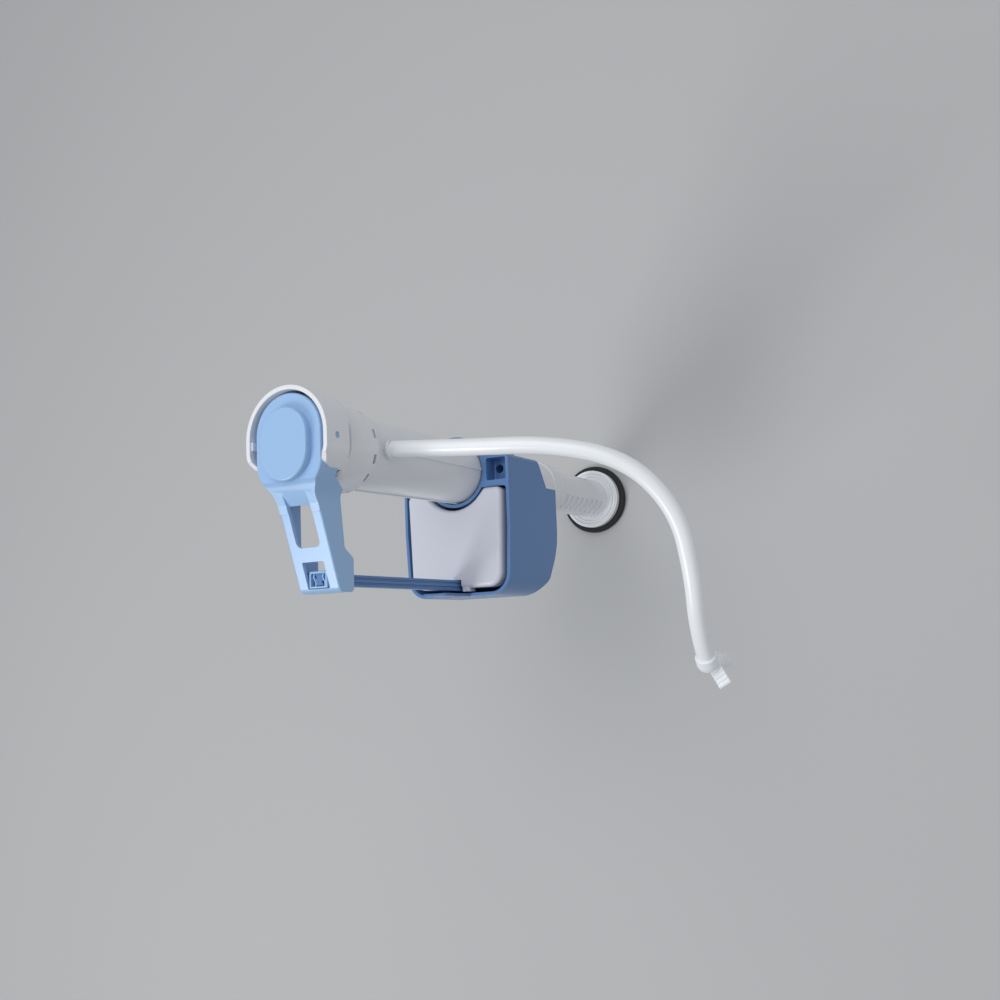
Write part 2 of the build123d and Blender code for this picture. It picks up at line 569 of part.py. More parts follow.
def arm_solid(inset):
    """The arm's wedge, set in by a wall's thickness all round but at its open underside."""
    (neck_y, neck_z), (start_y, start_z) = ARM_NECK
    (throat_y, throat_z), (heel_y, heel_z) = ARM_UNDERSIDE
    skin = ARM_SKIN if inset else 0
    under = 1 if inset else 0
    back = 3 if inset else 0
    end_y = ARM_END_Y + inset
    end_z = start_z + (end_y - start_y) * ARM_SLOPE
    outline = (
        (neck_y, neck_z - skin),
        (start_y, start_z - skin),
        (end_y, end_z - skin),
        (end_y, BOX_BOTTOM_Z - under),
        (BOX_START_Y + inset, BOX_BOTTOM_Z - under),
        (heel_y + inset, heel_z - under),
        (throat_y + back, throat_z - under),
        (neck_y + back, ARM_NECK_BOTTOM_Z - under),
    )
    return side_prism(outline, ARM_HALF_WIDTH - inset)


def lever_arm():
    """Blue lever: two-tier cap with trunnions, sloping channel arm, window and clip window."""
    lever = upright(stadium(CAP_HALF_WIDTH, CAP_FRONT_Y, CAP_BACK_Y), CAP_BOTTOM_Z, CAP_TOP_Z)
    lever += arm_solid(0)
    hollow = stadium(CAP_HALF_WIDTH - CAP_WALL, CAP_FRONT_Y + CAP_WALL, CAP_BACK_Y - CAP_WALL)
    lever -= upright(hollow, CAP_BOTTOM_Z - 1, CAP_TOP_Z - CAP_SKIN)
    lever -= arm_solid(ARM_WALL)
    plan = stadium(PAD_TIER_HALF_WIDTH, PAD_TIER_FRONT_Y, PAD_TIER_BACK_Y)
    lever += upright(plan, CAP_TOP_Z - 1, PAD_TIER_TOP_Z)
    window_x = (-WINDOW_HALF_WIDTH, WINDOW_HALF_WIDTH)
    lever -= block(window_x, WINDOW_Y, (CAP_BOTTOM_Z - 20, CAP_TOP_Z))
    clip_x = (-CLIP_WINDOW_HALF_WIDTH, CLIP_WINDOW_HALF_WIDTH)
    lever -= block(clip_x, CLIP_WINDOW_Y, (CAP_BOTTOM_Z - 30, CAP_TOP_Z))
    cheek_out = HEAD_INNER_R - CHEEK_GAP
    tip = HEAD_R - TRUNNION_INSET
    for side in (-1, 1):
        cheek = sorted((side * (CAP_HALF_WIDTH - CAP_WALL), side * cheek_out))
        lever += rod_along_x(CHEEK_R, *cheek, PIVOT_Y, PIVOT_Z)
        trunnion = sorted((side * (cheek_out - 1), side * tip))
        lever += rod_along_x(TRUNNION_R, *trunnion, PIVOT_Y, PIVOT_Z)
        slot_x = sorted((side * (PEG_REACH + 0.4), side * (ARM_HALF_WIDTH - ARM_WALL - 1)))
        reach = PEG_R + PEG_SLOT_CLEARANCE
        slot_y = (ROD_Y - reach, ROD_Y + reach + PEG_SLOT_PLAY_Y)
        lever -= block(slot_x, slot_y, (PEG_Z - reach, PEG_Z + reach))
    pad_top = PILOT_TOP_Z + PAD_GAP + PAD_THICK
    lever += Pos(0, PILOT_Y, 0) * drum(PAD_R + 1.2, pad_top, CAP_TOP_Z - 1)
    return lever


def pilot_pad():
    """Rubber pad under the lever that closes the pilot nozzle."""
    low = PILOT_TOP_Z + PAD_GAP
    return Pos(0, PILOT_Y, 0) * drum(PAD_R, low, low + PAD_THICK)


def rod_plan(grow):
    """Plan of the adjuster rod: a flat bar with grooves down both wide faces."""
    bar = Rectangle(ROD_THICK_X + 2 * grow, ROD_WIDTH_Y + 2 * grow)
    for side in (-1, 1):
        for place in (-1, 1):
            spot = Pos(side * (ROD_THICK_X / 2 + grow), place * ROD_WIDTH_Y / 5)
            bar -= spot * Rectangle(2 * ROD_GROOVE, 1.2 - 2 * grow)
    return Pos(0, ROD_Y) * bar


def adjuster_rod():
    """Grooved bar that joins the clip on the lever to the float."""
    return upright(rod_plan(0), ROD_BOTTOM_Z, ROD_TOP_Z)


def rod_clip():
    """Clip that grips the rod and hangs in the lever's end by two pegs."""
    clip = block((-CLIP_HALF_X, CLIP_HALF_X), (ROD_Y - CLIP_HALF_Y, ROD_Y + CLIP_HALF_Y), CLIP_Z)
    clip -= upright(rod_plan(ROD_FIT), CLIP_Z[0] - 1, CLIP_Z[1] + 1)
    for side in (-1, 1):
        peg = sorted((side * (CLIP_HALF_X - 1), side * PEG_REACH))
        clip += rod_along_x(PEG_R, *peg, ROD_Y, PEG_Z)
    return clip


def float_plan(inset):
    """Plan of the float: a tapered tub with rounded corners and a round notch for the body."""
    back = FLOAT_HALF_WIDTH - inset
    front = FLOAT_FRONT_HALF_WIDTH - inset
    y_back = FLOAT_BACK_Y - inset
    y_front = FLOAT_FRONT_Y + inset
    corners = ((-back, y_back), (back, y_back), (front, y_front), (-front, y_front))
    face = make_face(Polyline(*corners, close=True))
    corners = face.vertices().sort_by(Axis.Y)
    face = fillet(corners[:2], FLOAT_CORNER_R - inset)
    face = fillet(face.vertices().sort_by(Axis.Y)[-2:], 4.0 - inset)
    return face - Circle(FLOAT_NOTCH_R + inset)


def float_body():
    """Float open underneath, which traps air as the water rises, with a socket for the rod."""
    low = FLOAT_TOP_Z - FLOAT_HEIGHT
    body = upright(float_plan(0), low, FLOAT_TOP_Z)
    body = fillet(body.faces().sort_by(Axis.Z)[-1].edges(), FLOAT_EDGE_R)
    hollow = upright(float_plan(FLOAT_WALL), low - 1, FLOAT_TOP_Z - FLOAT_WALL)
    half = FLOAT_SOCKET_WIDTH / 2
    back = ROD_Y + ROD_WIDTH_Y / 2 + 0.3
    wall = FLOAT_WALL
    tower_z = (ROD_BOTTOM_Z - wall, FLOAT_TOP_Z)
    hollow -= block((-half - wall, half + wall), (FLOAT_FRONT_Y, back + wall), tower_z)
    body -= hollow
    body -= block((-half, half), (FLOAT_FRONT_Y - 1, back), (ROD_BOTTOM_Z, FLOAT_TOP_Z + 1))
    jaw_x = (ROD_THICK_X / 2, half)
    jaw_y = (FLOAT_FRONT_Y, back)
    for side in (-1, 1):
        xs = sorted(side * x for x in jaw_x)
        body += block(xs, jaw_y, (ROD_BOTTOM_Z, ROD_BOTTOM_Z + FLOAT_SOCKET_TAB))
    return body


def cup_plan(inset):
    """Plan of the cup's tub: straight back, tapering sides and rounded front corners."""
    back = CUP_HALF_WIDTH - inset
    front = CUP_FRONT_HALF_WIDTH - inset
    y_front = CUP_FRONT_Y + inset
    points = (
        (-back, CUP_BACK_Y),
        (back, CUP_BACK_Y),
        (back, CUP_TAPER_Y),
        (front, y_front),
        (-front, y_front),
        (-back, CUP_TAPER_Y),
    )
    face = make_face(Polyline(*points, close=True))
    return fillet(face.vertices().sort_by(Axis.Y)[:2], CUP_CORNER_R - inset)


def float_cup():
    """Open cup round the float, with a collar on the body and an ear with a pocket on each side."""
    wide = (-CUP_HALF_WIDTH - 5, CUP_HALF_WIDTH + 5)
    front_half = block(wide, (CUP_FRONT_Y - 5, TUB_BACK_Y), (CUP_BOTTOM_Z, CUP_TOP_Z))
    back_half = block(wide, (TUB_BACK_Y - 0.5, CUP_BACK_Y), (EAR_BOTTOM_Z, CUP_TOP_Z))
    outer = upright(cup_plan(0), CUP_BOTTOM_Z, CUP_TOP_Z)
    keel = side_prism(((0, 0), *CUP_KEEL, (-90, 90), (0, 90)), 50)
    outer &= Pos(0, 0, CUP_BOTTOM_Z) * keel
    cup = outer & (front_half + back_half)
    slope_y = (TUB_BACK_Y, CUP_BACK_Y + 0.1)
    slope = ((slope_y[0], EAR_BOTTOM_Z), (slope_y[1], EAR_BOTTOM_Z + EAR_SLOPE_RISE))
    cup -= side_prism((*slope, (slope_y[1], EAR_BOTTOM_Z - 1), (slope_y[0], EAR_BOTTOM_Z - 1)), 50)
    inner = upright(cup_plan(CUP_WALL), CUP_BOTTOM_Z + CUP_WALL, CUP_TOP_Z + 1)
    inner &= block(wide, (CUP_FRONT_Y, TUB_BACK_Y - CUP_WALL), (CUP_BOTTOM_Z, CUP_TOP_Z + 1))
    inner &= Pos(0, CUP_WALL, CUP_BOTTOM_Z + CUP_WALL) * keel
    cup -= inner - drum(COLLAR_R, CUP_BOTTOM_Z, CUP_TOP_Z + 2)
    cup += drum(COLLAR_R, EAR_BOTTOM_Z, CUP_TOP_Z)
    pocket_y = (TUB_BACK_Y + POCKET_WALL, CUP_BACK_Y - POCKET_WALL)
    for side in (-1, 1):
        pocket_x = sorted(side * x for x in POCKET_X)
        cup -= block(pocket_x, pocket_y, (CUP_TOP_Z - POCKET_DEPTH, CUP_TOP_Z + 1))
        hole = Pos(side * POCKET_HOLE[0], POCKET_HOLE[1], 0)
        cup -= hole * drum(POCKET_HOLE_R, EAR_BOTTOM_Z - 1, CUP_TOP_Z)
    cup -= drum(COLLAR_BORE_R, RIB_BOTTOM_Z, CUP_TOP_Z + 1)
    cup -= drum(COLLAR_SEAT_R, CUP_BOTTOM_Z - 1, RIB_BOTTOM_Z + 1)
    tongue_x = (-TONGUE_HALF_WIDTH, TONGUE_HALF_WIDTH)
    cup += block(tongue_x, (CUP_FRONT_Y, CUP_FRONT_Y + TONGUE_THICK), (CUP_TOP_Z - 1, TONGUE_TOP_Z))
    cup -= Pos(FLAP_X, FLAP_Y, 0) * drum(FLAP_HOLE_R, CUP_BOTTOM_Z - 1, CUP_BOTTOM_Z + CUP_WALL + 1)
    pin_z = CUP_BOTTOM_Z - FLAP_GAP - FLAP_THICK / 2
    for side in (-1, 1):
        inner_x = FLAP_X + side * (FLAP_HALF_WIDTH + 0.3)
        lug_x = sorted((inner_x, inner_x + side * FLAP_LUG_THICK))
        lug_y = (FLAP_HINGE_Y - 2, FLAP_HINGE_Y + 2)
        cup += block(lug_x, lug_y, (pin_z - 2, CUP_BOTTOM_Z + 0.5))
    lug_reach = FLAP_HALF_WIDTH + FLAP_LUG_THICK + 1
    return cup - rod_along_x(FLAP_PIN_R + 0.05, FLAP_X - lug_reach, FLAP_X + lug_reach, FLAP_HINGE_Y, pin_z)


def cup_drain_flap():
    """Flap under the cup's drain hole, with its hinge pin moulded on."""
    high = CUP_BOTTOM_Z - FLAP_GAP
    low = high - FLAP_THICK
    flap = Pos(FLAP_X, FLAP_Y, 0) * drum(FLAP_R, low, high)
    tail_x = (FLAP_X - FLAP_HALF_WIDTH, FLAP_X + FLAP_HALF_WIDTH)
    flap += block(tail_x, (FLAP_Y, FLAP_HINGE_Y), (low, high))
    reach = FLAP_HALF_WIDTH + FLAP_LUG_THICK + 0.2
    return flap + rod_along_x(FLAP_PIN_R, FLAP_X - reach, FLAP_X + reach, FLAP_HINGE_Y, (low + high) / 2)


def hose_path():
    """Straight runs joined by tangent arcs as large as the runs allow; prints their radii."""
    points = [Vector(*p) for p in HOSE_POINTS]
    radii = []
    for before, corner, after in zip(points, points[1:], points[2:]):
        run = min((corner - before).length, (after - corner).length)
        turn = (corner - before).get_angle(after - corner)
        radii.append(0.45 * run / tan(radians(turn / 2)))
    print("hose arc radii, mm:", [round(r, 1) for r in radii])
    return FilletPolyline(*points, radius=radii)


def refill_hose():
    """Refill hose, as a plain round solid along its route."""
    path = hose_path()
    section = Plane(origin=path @ 0, z_dir=path % 0) * Circle(HOSE_R)
    hose = sweep(section, path=path)
    expected = path.length * 3.14159265 * HOSE_R**2
    print(f"hose length {path.length:.1f} mm, volume {hose.volume:.0f} mm3, expected {expected:.0f}")
    return hose


def overflow_elbow():
    """Elbow on the hose's end: barb, round body, ribbed outlet and a clip finger."""
    end = Vector(*HOSE_POINTS[-1])
    along = (end - Vector(*HOSE_POINTS[-2])).normalized()
    inlet = Plane(origin=end, z_dir=along)
    low_first = (Align.CENTER, Align.CENTER, Align.MIN)
    low_last = (Align.CENTER, Align.CENTER, Align.MAX)
    knob = end + along * 4.5
    elbow = inlet * Cylinder(ELBOW_R, 4.5, align=low_first)
    elbow += Pos(*knob) * Sphere(ELBOW_R)
    elbow += inlet * Cylinder(BARB_R, BARB_LENGTH, align=low_last)
    spout = Pos(*knob) * Cylinder(ELBOW_OUTLET_R, ELBOW_DROP, align=low_last)
    elbow += spout
    elbow += Pos(*(knob - Vector(0, 0, 6))) * Cylinder(ELBOW_R, 2)
    root = (Align.MIN, Align.CENTER, Align.MIN)
    finger = Box(ELBOW_CLIP_REACH, ELBOW_CLIP_WIDTH, ELBOW_CLIP_THICK, align=root)
    elbow += Pos(*(knob - Vector(0, 0, 7))) * Rot(0, 0, -60) * finger
    elbow -= Pos(*knob) * Cylinder(ELBOW_BORE_R, ELBOW_DROP + 1, align=low_last)
    back = BARB_LENGTH + 4.5 + 1
    return elbow - Plane(origin=knob, z_dir=along) * Cylinder(ELBOW_BORE_R - 0.4, back, align=low_last)


PARTS = {
    "lower_riser": lower_riser,
    "seal_washer": seal_washer,
    "friction_washer": friction_washer,
    "lock_nut": lock_nut,
    "inlet_strainer": inlet_strainer,
    "flow_restrictor": flow_restrictor,
    "supply_tube": supply_tube,
    "supply_orings": supply_orings,
    "valve_seat": valve_seat,
    "body_tube": body_tube,
    "refill_nozzle": refill_nozzle,
    "height_lock_ring": height_lock_ring,
    "diaphragm": diaphragm,
    "diaphragm_core": diaphragm_core,
    "pilot_cover": pilot_cover,
    "anti_siphon_ring": anti_siphon_ring,
    "head_shell": head_shell,
    "lever_arm": lever_arm,
    "pilot_pad": pilot_pad,
    "rod_clip": rod_clip,
    "adjuster_rod": adjuster_rod,
    "float": float_body,
    "float_cup": float_cup,
    "cup_drain_flap": cup_drain_flap,
    "refill_hose": refill_hose,
    "overflow_elbow": overflow_elbow,
}

os.makedirs("parts", exist_ok=True)
for name, make in PARTS.items():
    export_step(make(), f"parts/{name}.step")
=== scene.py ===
"""A side-float toilet fill valve, built piece by piece round its CAD frame."""
from math import cos, pi, radians, sin

import bmesh
import bpy
import numpy as np
from mathutils import Matrix, Vector


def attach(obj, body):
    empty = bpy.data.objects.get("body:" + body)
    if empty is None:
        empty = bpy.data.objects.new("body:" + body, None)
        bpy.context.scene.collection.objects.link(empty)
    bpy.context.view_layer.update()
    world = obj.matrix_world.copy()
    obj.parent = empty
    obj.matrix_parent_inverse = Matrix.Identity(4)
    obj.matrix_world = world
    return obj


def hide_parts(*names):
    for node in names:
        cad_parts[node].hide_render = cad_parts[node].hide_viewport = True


bl_info = {
    "name": "Side-float fill valve",
    "version": (1, 0, 0),
    "blender": (4, 5, 0),
    "location": "3D View > Sidebar > Fill Valve",
    "description": "Builds a toilet fill valve's visible pieces round its CAD frame",
    "category": "Add Mesh",
}

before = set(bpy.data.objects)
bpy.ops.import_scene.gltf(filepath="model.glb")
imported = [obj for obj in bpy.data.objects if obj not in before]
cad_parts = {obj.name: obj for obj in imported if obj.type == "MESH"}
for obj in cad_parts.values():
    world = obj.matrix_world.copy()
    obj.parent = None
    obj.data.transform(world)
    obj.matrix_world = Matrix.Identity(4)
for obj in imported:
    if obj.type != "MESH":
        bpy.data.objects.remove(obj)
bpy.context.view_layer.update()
MM = 0.001                # shapes are worked out in millimetres and placed in metres
PIVOT = (0.0, 0.5, 342.0)  # middle of the lever's trunnions
ROD_Y = -68.8             # the adjuster rod's axis
NOZZLE_Z = 291.0          # the refill nozzle's axis
SHANK_R = 11.1            # crest of the shank's thread
PITCH = 25.4 / 14         # 14 turns to the inch
THREAD_DEPTH = 0.75


# ---------------------------------------------------------------- shapes


def quarter(edge, steps=5):
    """(inset, rise) along a rounded edge: a quarter circle from the flat face to the side wall."""
    if edge <= 0:
        return [(0.0, 0.0)]
    turn = np.linspace(0, pi / 2, steps + 1)
    return list(zip(edge * (1 - np.sin(turn)), edge * (1 - np.cos(turn))))


def rounded(points, radii, inset=0.0, steps=8):
    """Outline of a polygon, listed anticlockwise, whose corners are arcs.

    Each arc's centre is where the corner's two edges, moved inwards by its radius, cross. An inset
    takes that much off an outside corner's radius and adds it to an inside corner's, so outlines of
    every inset have the same points in the same order.
    """
    p = np.asarray(points, float)
    r = np.broadcast_to(np.asarray(radii, float), len(p))
    into = p - np.roll(p, 1, 0)
    into /= np.linalg.norm(into, axis=1)[:, None]
    out = np.roll(into, -1, 0)
    turn = np.arctan2(into[:, 0] * out[:, 1] - into[:, 1] * out[:, 0], (into * out).sum(1))
    side = np.sign(turn)
    left = np.stack([-into[:, 1], into[:, 0]], 1)
    centre = p - into * (r * np.tan(abs(turn) / 2))[:, None] + left * (side * r)[:, None]
    angle = turn[:, None] * np.linspace(0, 1, steps + 1)
    c, s = np.cos(angle), np.sin(angle)
    reach = (side * r - inset)[:, None]
    x = centre[:, :1] - (left[:, :1] * c - left[:, 1:] * s) * reach
    y = centre[:, 1:] - (left[:, :1] * s + left[:, 1:] * c) * reach
    return np.stack([x, y], -1).reshape(-1, 2)


def stack(outlines, heights, axes="xyz"):
    """Rows of a loft: each flat outline at its own height, with u, v and height laid on three axes."""
    rows = np.empty((len(outlines), len(outlines[0]), 3))
    u, v, w = ("xyz".index(a) for a in axes)
    rows[..., u] = [o[:, 0] for o in outlines]
    rows[..., v] = [o[:, 1] for o in outlines]
    rows[..., w] = np.broadcast_to(np.asarray(heights, float).reshape(len(outlines), -1), rows.shape[:2])
    return rows


def grid_faces(count, around, closed):
    """Quads between neighbouring rows of a grid whose rows are loops."""
    last = count if closed else count - 1
    i, j = np.meshgrid(np.arange(last), np.arange(around), indexing="ij")
    k, n = (j + 1) % around, (i + 1) % count
    return np.stack([i * around + j, i * around + k, n * around + k, n * around + j], -1).reshape(-1, 4)


def surface(name, rows, closed=False, caps=True):
    """Mesh object of a grid of loops; open ends are closed with one flat face each."""
    rows = np.asarray(rows, float)
    count, around, _ = rows.shape
    faces = grid_faces(count, around, closed).tolist()
    if caps and not closed:
        faces.append(list(range(around))[::-1])
        faces.append(list(range((count - 1) * around, count * around)))
    return mesh_object(name, rows.reshape(-1, 3), faces)


def mesh_object(name, points, faces):
    """Object at the origin, with its doubled points merged and its faces turned outwards."""
    mesh = bpy.data.meshes.new(name)
    mesh.from_pydata((np.asarray(points) * MM).tolist(), [], faces)
    shape = bmesh.new()
    shape.from_mesh(mesh)
    bmesh.ops.remove_doubles(shape, verts=shape.verts, dist=2e-7)
    bmesh.ops.recalc_face_normals(shape, faces=shape.faces)
    shape.to_mesh(mesh)
    shape.free()
    thing = bpy.data.objects.new(name, mesh)
    bpy.context.scene.collection.objects.link(thing)
    return thing


def prism(name, points, radii, low, high, edges=(0.0, 0.0), axes="xyz", steps=8):
    """Rounded polygon carried from low to high, with both rims rounded by their own edge radius."""
    insets, heights = [], []
    for inset, rise in quarter(edges[0]):
        insets.append(inset)
        heights.append(low + rise)
    for inset, rise in reversed(quarter(edges[1])):
        insets.append(inset)
        heights.append(high - rise)
    radii = np.maximum(np.broadcast_to(np.asarray(radii, float), len(points)), max(edges) + 0.01)
    outlines = [rounded(points, radii, inset, steps) for inset in insets]
    return surface(name, stack(outlines, heights, axes))


def block(name, x, y, z, edge=0.0):
    """Box between pairs of coordinates, with upright corners and rims rounded."""
    corner = max(edge, 0.01)
    points = ((x[0], y[0]), (x[1], y[0]), (x[1], y[1]), (x[0], y[1]))
    return prism(name, points, corner, z[0], z[1], (edge, edge), steps=4)


def lathe(name, profile, radii=0.0, around=96, steps=5, turn=None):
    """Closed (radius, height) profile with rounded corners, turned about the valve's axis.

    turn is a function that moves the finished points, for a part whose own axis isn't the valve's.
    """
    outline = rounded(profile, radii, 0.0, steps)
    angle = np.arange(around) * 2 * pi / around
    rows = np.empty((len(outline), around, 3))
    rows[..., 0] = np.maximum(outline[:, :1], 0) * np.cos(angle)
    rows[..., 1] = np.maximum(outline[:, :1], 0) * np.sin(angle)
    rows[..., 2] = outline[:, 1:]
    if turn is not None:
        rows = turn(rows)
    return surface(name, rows, closed=True)


def drum(name, radius, low, high, centre=(0.0, 0.0), edge=0.0, around=96):
    """Solid cylinder standing at a plan centre, with its rims rounded."""
    corners = [(0, low), (radius, low), (radius, high), (0, high)]
    bend = [0, edge, edge, 0]
    return lathe(name, corners, bend, around, turn=lambda rows: rows + (centre[0], centre[1], 0))


def along_x(y, z):
    """Turns a lathed part so that its axis lies along X through the given y and z."""
    return lambda rows: np.stack([rows[..., 2], rows[..., 0] + y, rows[..., 1] + z], -1)


def along(origin, direction):
    """Turns a lathed part so that its axis runs from origin along a direction."""
    w = np.asarray(direction, float) / np.linalg.norm(direction)
    u = np.cross(w, (0, 0, 1.0) if abs(w[2]) < 0.9 else (1.0, 0, 0))
    u /= np.linalg.norm(u)
    basis = np.stack([u, np.cross(w, u), w])
    return lambda rows: rows @ basis + np.asarray(origin, float)


def shape(body, tools, operation="DIFFERENCE"):
    """Adds tools to a body or cuts them from it, and keeps only the result."""
    for tool in tools:
        step = body.modifiers.new("shape", "BOOLEAN")
        step.operation = operation
        step.solver = "EXACT"
        step.object = tool
    bpy.context.view_layer.update()
    old = body.data
    graph = bpy.context.evaluated_depsgraph_get()
    mesh = bpy.data.meshes.new_from_object(body.evaluated_get(graph))
    body.modifiers.clear()
    body.data = mesh
    mesh.name = old.name
    bpy.data.meshes.remove(old)
    for tool in tools:
        data = tool.data
        bpy.data.objects.remove(tool)
        bpy.data.meshes.remove(data)
    return body


def join(body, tools):
    """Welds closed pieces into one skin."""
    return shape(body, tools, "UNION")


def finish(piece, finish_name, body, *nodes):
    """Shades a piece, gives it its material, and hangs it on its body in place of CAD nodes."""
    piece.data.shade_smooth()
    piece.data.set_sharp_from_angle(angle=radians(34))
    even = piece.modifiers.new("even normals", "WEIGHTED_NORMAL")
    even.keep_sharp = True
    piece.data.materials.clear()
    piece.data.materials.append(material(finish_name))
    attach(piece, body)
    if nodes:
        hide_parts(*nodes)
    return piece


def dress(node, finish_name):
    """Gives a CAD node whose shape is right its moulded material."""
    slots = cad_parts[node].data.materials
    slots.clear()
    slots.append(material(finish_name))


# ---------------------------------------------------------------- materials

# roughness, mottling of the colour, painted highlight on edges and strength of the scuffs, depth of the
# moulded grain, light carried under the surface
FINISHES = {
    "white_plastic": (0.30, 0.025, 0.10, 0.10, 0.12),
    "inner_plastic": (0.36, 0.03, 0.05, 0.10, 0.10),
    "nut_plastic": (0.40, 0.04, 0.12, 0.20, 0.08),
    "hose_plastic": (0.24, 0.015, 0.02, 0.05, 0.25),
    "light_blue_plastic": (0.42, 0.03, 0.14, 0.12, 0.05),
    "deep_blue_plastic": (0.40, 0.05, 0.22, 0.16, 0.03),
    "float_plastic": (0.46, 0.04, 0.16, 0.18, 0.08),
    "black_rubber": (0.62, 0.10, 0.30, 0.35, 0.0),
    "grey_rubber": (0.58, 0.08, 0.20, 0.30, 0.0),
}


def linear(colour):
    """sRGB to linear light."""
    return tuple(c / 12.92 if c <= 0.04045 else ((c + 0.055) / 1.055) ** 2.4 for c in colour) + (1.0,)


def node(tree, kind, **inputs):
    """Adds a shader node and sets its named inputs, given with _ for a space."""
    made = tree.nodes.new(kind)
    for key, value in inputs.items():
        made.inputs[key.replace("_", " ")].default_value = value
    return made


def material(name):
    """Moulded plastic or rubber: mottled colour, convex edges lightened as a painted highlight, fine scuffs
    and a moulded grain.
    """
    if name in bpy.data.materials:
        return bpy.data.materials[name]
    rough, mottle, edge_highlight_and_scuffs, grain, glow = FINISHES[name]
    colour = getattr(bpy.context.scene.fill_valve_colours, name)
    made = bpy.data.materials.new(name)
    made.use_nodes = True
    tree = made.node_tree
    link = tree.links.new
    shader = tree.nodes["Principled BSDF"]
    shader.inputs["IOR"].default_value = 1.48
    shader.inputs["Subsurface Weight"].default_value = glow
    shader.inputs["Subsurface Radius"].default_value = (0.004, 0.004, 0.004)
    shader.inputs["Subsurface Scale"].default_value = 0.5
    place = tree.nodes.new("ShaderNodeTexCoord").outputs["Object"]

    cloud = node(tree, "ShaderNodeTexNoise", Scale=38.0, Detail=4.0, Roughness=0.6)
    specks = node(tree, "ShaderNodeTexNoise", Scale=900.0, Detail=3.0, Roughness=0.55)
    grit = node(tree, "ShaderNodeTexNoise", Scale=2600.0, Detail=2.0, Roughness=0.5)
    for texture in (cloud, specks, grit):
        link(place, texture.inputs["Vector"])

    slant = tree.nodes.new("ShaderNodeMapping")
    slant.inputs["Rotation"].default_value = (0.5, 0.35, 0.9)
    slant.inputs["Scale"].default_value = (60.0, 900.0, 700.0)
    link(place, slant.inputs["Vector"])
    scuff = node(tree, "ShaderNodeTexNoise", Scale=1.0, Detail=3.0, Roughness=0.6)
    link(slant.outputs["Vector"], scuff.inputs["Vector"])
    scratch = node(tree, "ShaderNodeMapRange", From_Min=0.63, From_Max=0.74, To_Min=0.0, To_Max=1.0)
    link(scuff.outputs["Fac"], scratch.inputs["Value"])

    # Painted highlight: convex edges, found from pointiness, are mixed towards a pale tint.
    geometry = tree.nodes.new("ShaderNodeNewGeometry")
    edge = node(tree, "ShaderNodeMapRange", From_Min=0.52, From_Max=0.60, To_Min=0.0, To_Max=edge_highlight_and_scuffs)
    link(geometry.outputs["Pointiness"], edge.inputs["Value"])

    base = linear(colour)
    dark = tuple(c * (1 - 3 * mottle) for c in base[:3]) + (1.0,)
    light = tuple(c + (1 - c) * mottle for c in base[:3]) + (1.0,)
    ramp = tree.nodes.new("ShaderNodeValToRGB")
    ramp.color_ramp.elements[0].position = 0.3
    ramp.color_ramp.elements[0].color = dark
    ramp.color_ramp.elements[1].position = 0.68
    ramp.color_ramp.elements[1].color = light
    link(cloud.outputs["Fac"], ramp.inputs["Fac"])
    # The pale tint is both the painted edge highlight and the colour of the scuffs.
    pale = tuple(c + (1 - c) * 0.55 for c in base[:3]) + (1.0,)
    edge_highlight_mix = tree.nodes.new("ShaderNodeMix")
    edge_highlight_mix.data_type = "RGBA"
    link(edge.outputs["Result"], edge_highlight_mix.inputs["Factor"])
    link(ramp.outputs["Color"], edge_highlight_mix.inputs[6])
    edge_highlight_mix.inputs[7].default_value = pale
    scuffed = tree.nodes.new("ShaderNodeMix")
    scuffed.data_type = "RGBA"
    amount = tree.nodes.new("ShaderNodeMath")
    amount.operation = "MULTIPLY"
    amount.inputs[1].default_value = edge_highlight_and_scuffs * 0.6
    link(scratch.outputs["Result"], amount.inputs[0])
    link(amount.outputs["Value"], scuffed.inputs["Factor"])
    link(edge_highlight_mix.outputs[2], scuffed.inputs[6])
    scuffed.inputs[7].default_value = pale
    link(scuffed.outputs[2], shader.inputs["Base Color"])

    gloss = node(tree, "ShaderNodeMapRange", From_Min=0.35, From_Max=0.68)
    gloss.inputs["To Min"].default_value = rough * 0.82
    gloss.inputs["To Max"].default_value = rough * 1.22
    link(specks.outputs["Fac"], gloss.inputs["Value"])
    link(gloss.outputs["Result"], shader.inputs["Roughness"])

    relief = tree.nodes.new("ShaderNodeMath")
    relief.operation = "MULTIPLY_ADD"
    relief.inputs[1].default_value = 0.5
    link(specks.outputs["Fac"], relief.inputs[0])
    link(grit.outputs["Fac"], relief.inputs[2])
    rounded_edges = node(tree, "ShaderNodeBevel", Radius=0.0003)
    rounded_edges.samples = 4
    bump = node(tree, "ShaderNodeBump", Strength=grain, Distance=0.00012)
    link(relief.outputs["Value"], bump.inputs["Height"])
    link(rounded_edges.outputs["Normal"], bump.inputs["Normal"])
    link(bump.outputs["Normal"], shader.inputs["Normal"])
    return made


# ---------------------------------------------------------------- base and body


def threaded(rows, root, pitch, low, high):
    """Cuts a helical groove: depth follows |saw((z - pitch * turn) / pitch)| where r is the crest."""
    x, y, z = rows[..., 0], rows[..., 1], rows[..., 2]
    r = np.hypot(x, y)
    crest = SHANK_R
    phase = (z - pitch * np.arctan2(y, x) / (2 * pi)) / pitch
    wave = np.clip(abs((phase % 1.0) * 2 - 1) * 1.5 - 0.25, 0, 1)
    ends = np.clip(np.minimum(z - low, high - z) / 1.2, 0, 1)
    on = (r > crest - 0.02) & (z > low) & (z < high)
    cut = np.where(on, (crest - root) * wave * ends, 0.0)
    scale = (r - cut) / np.maximum(r, 1e-9)
    return np.stack([x * scale, y * scale, z], -1)


def shank_turn(rows):
    """Cuts the supply nut's thread and the tank nut's thread into the shank."""
    root = SHANK_R - THREAD_DEPTH
    return threaded(threaded(rows, root, PITCH, -51.4, -31.9), root, PITCH, -30.1, -3.3)


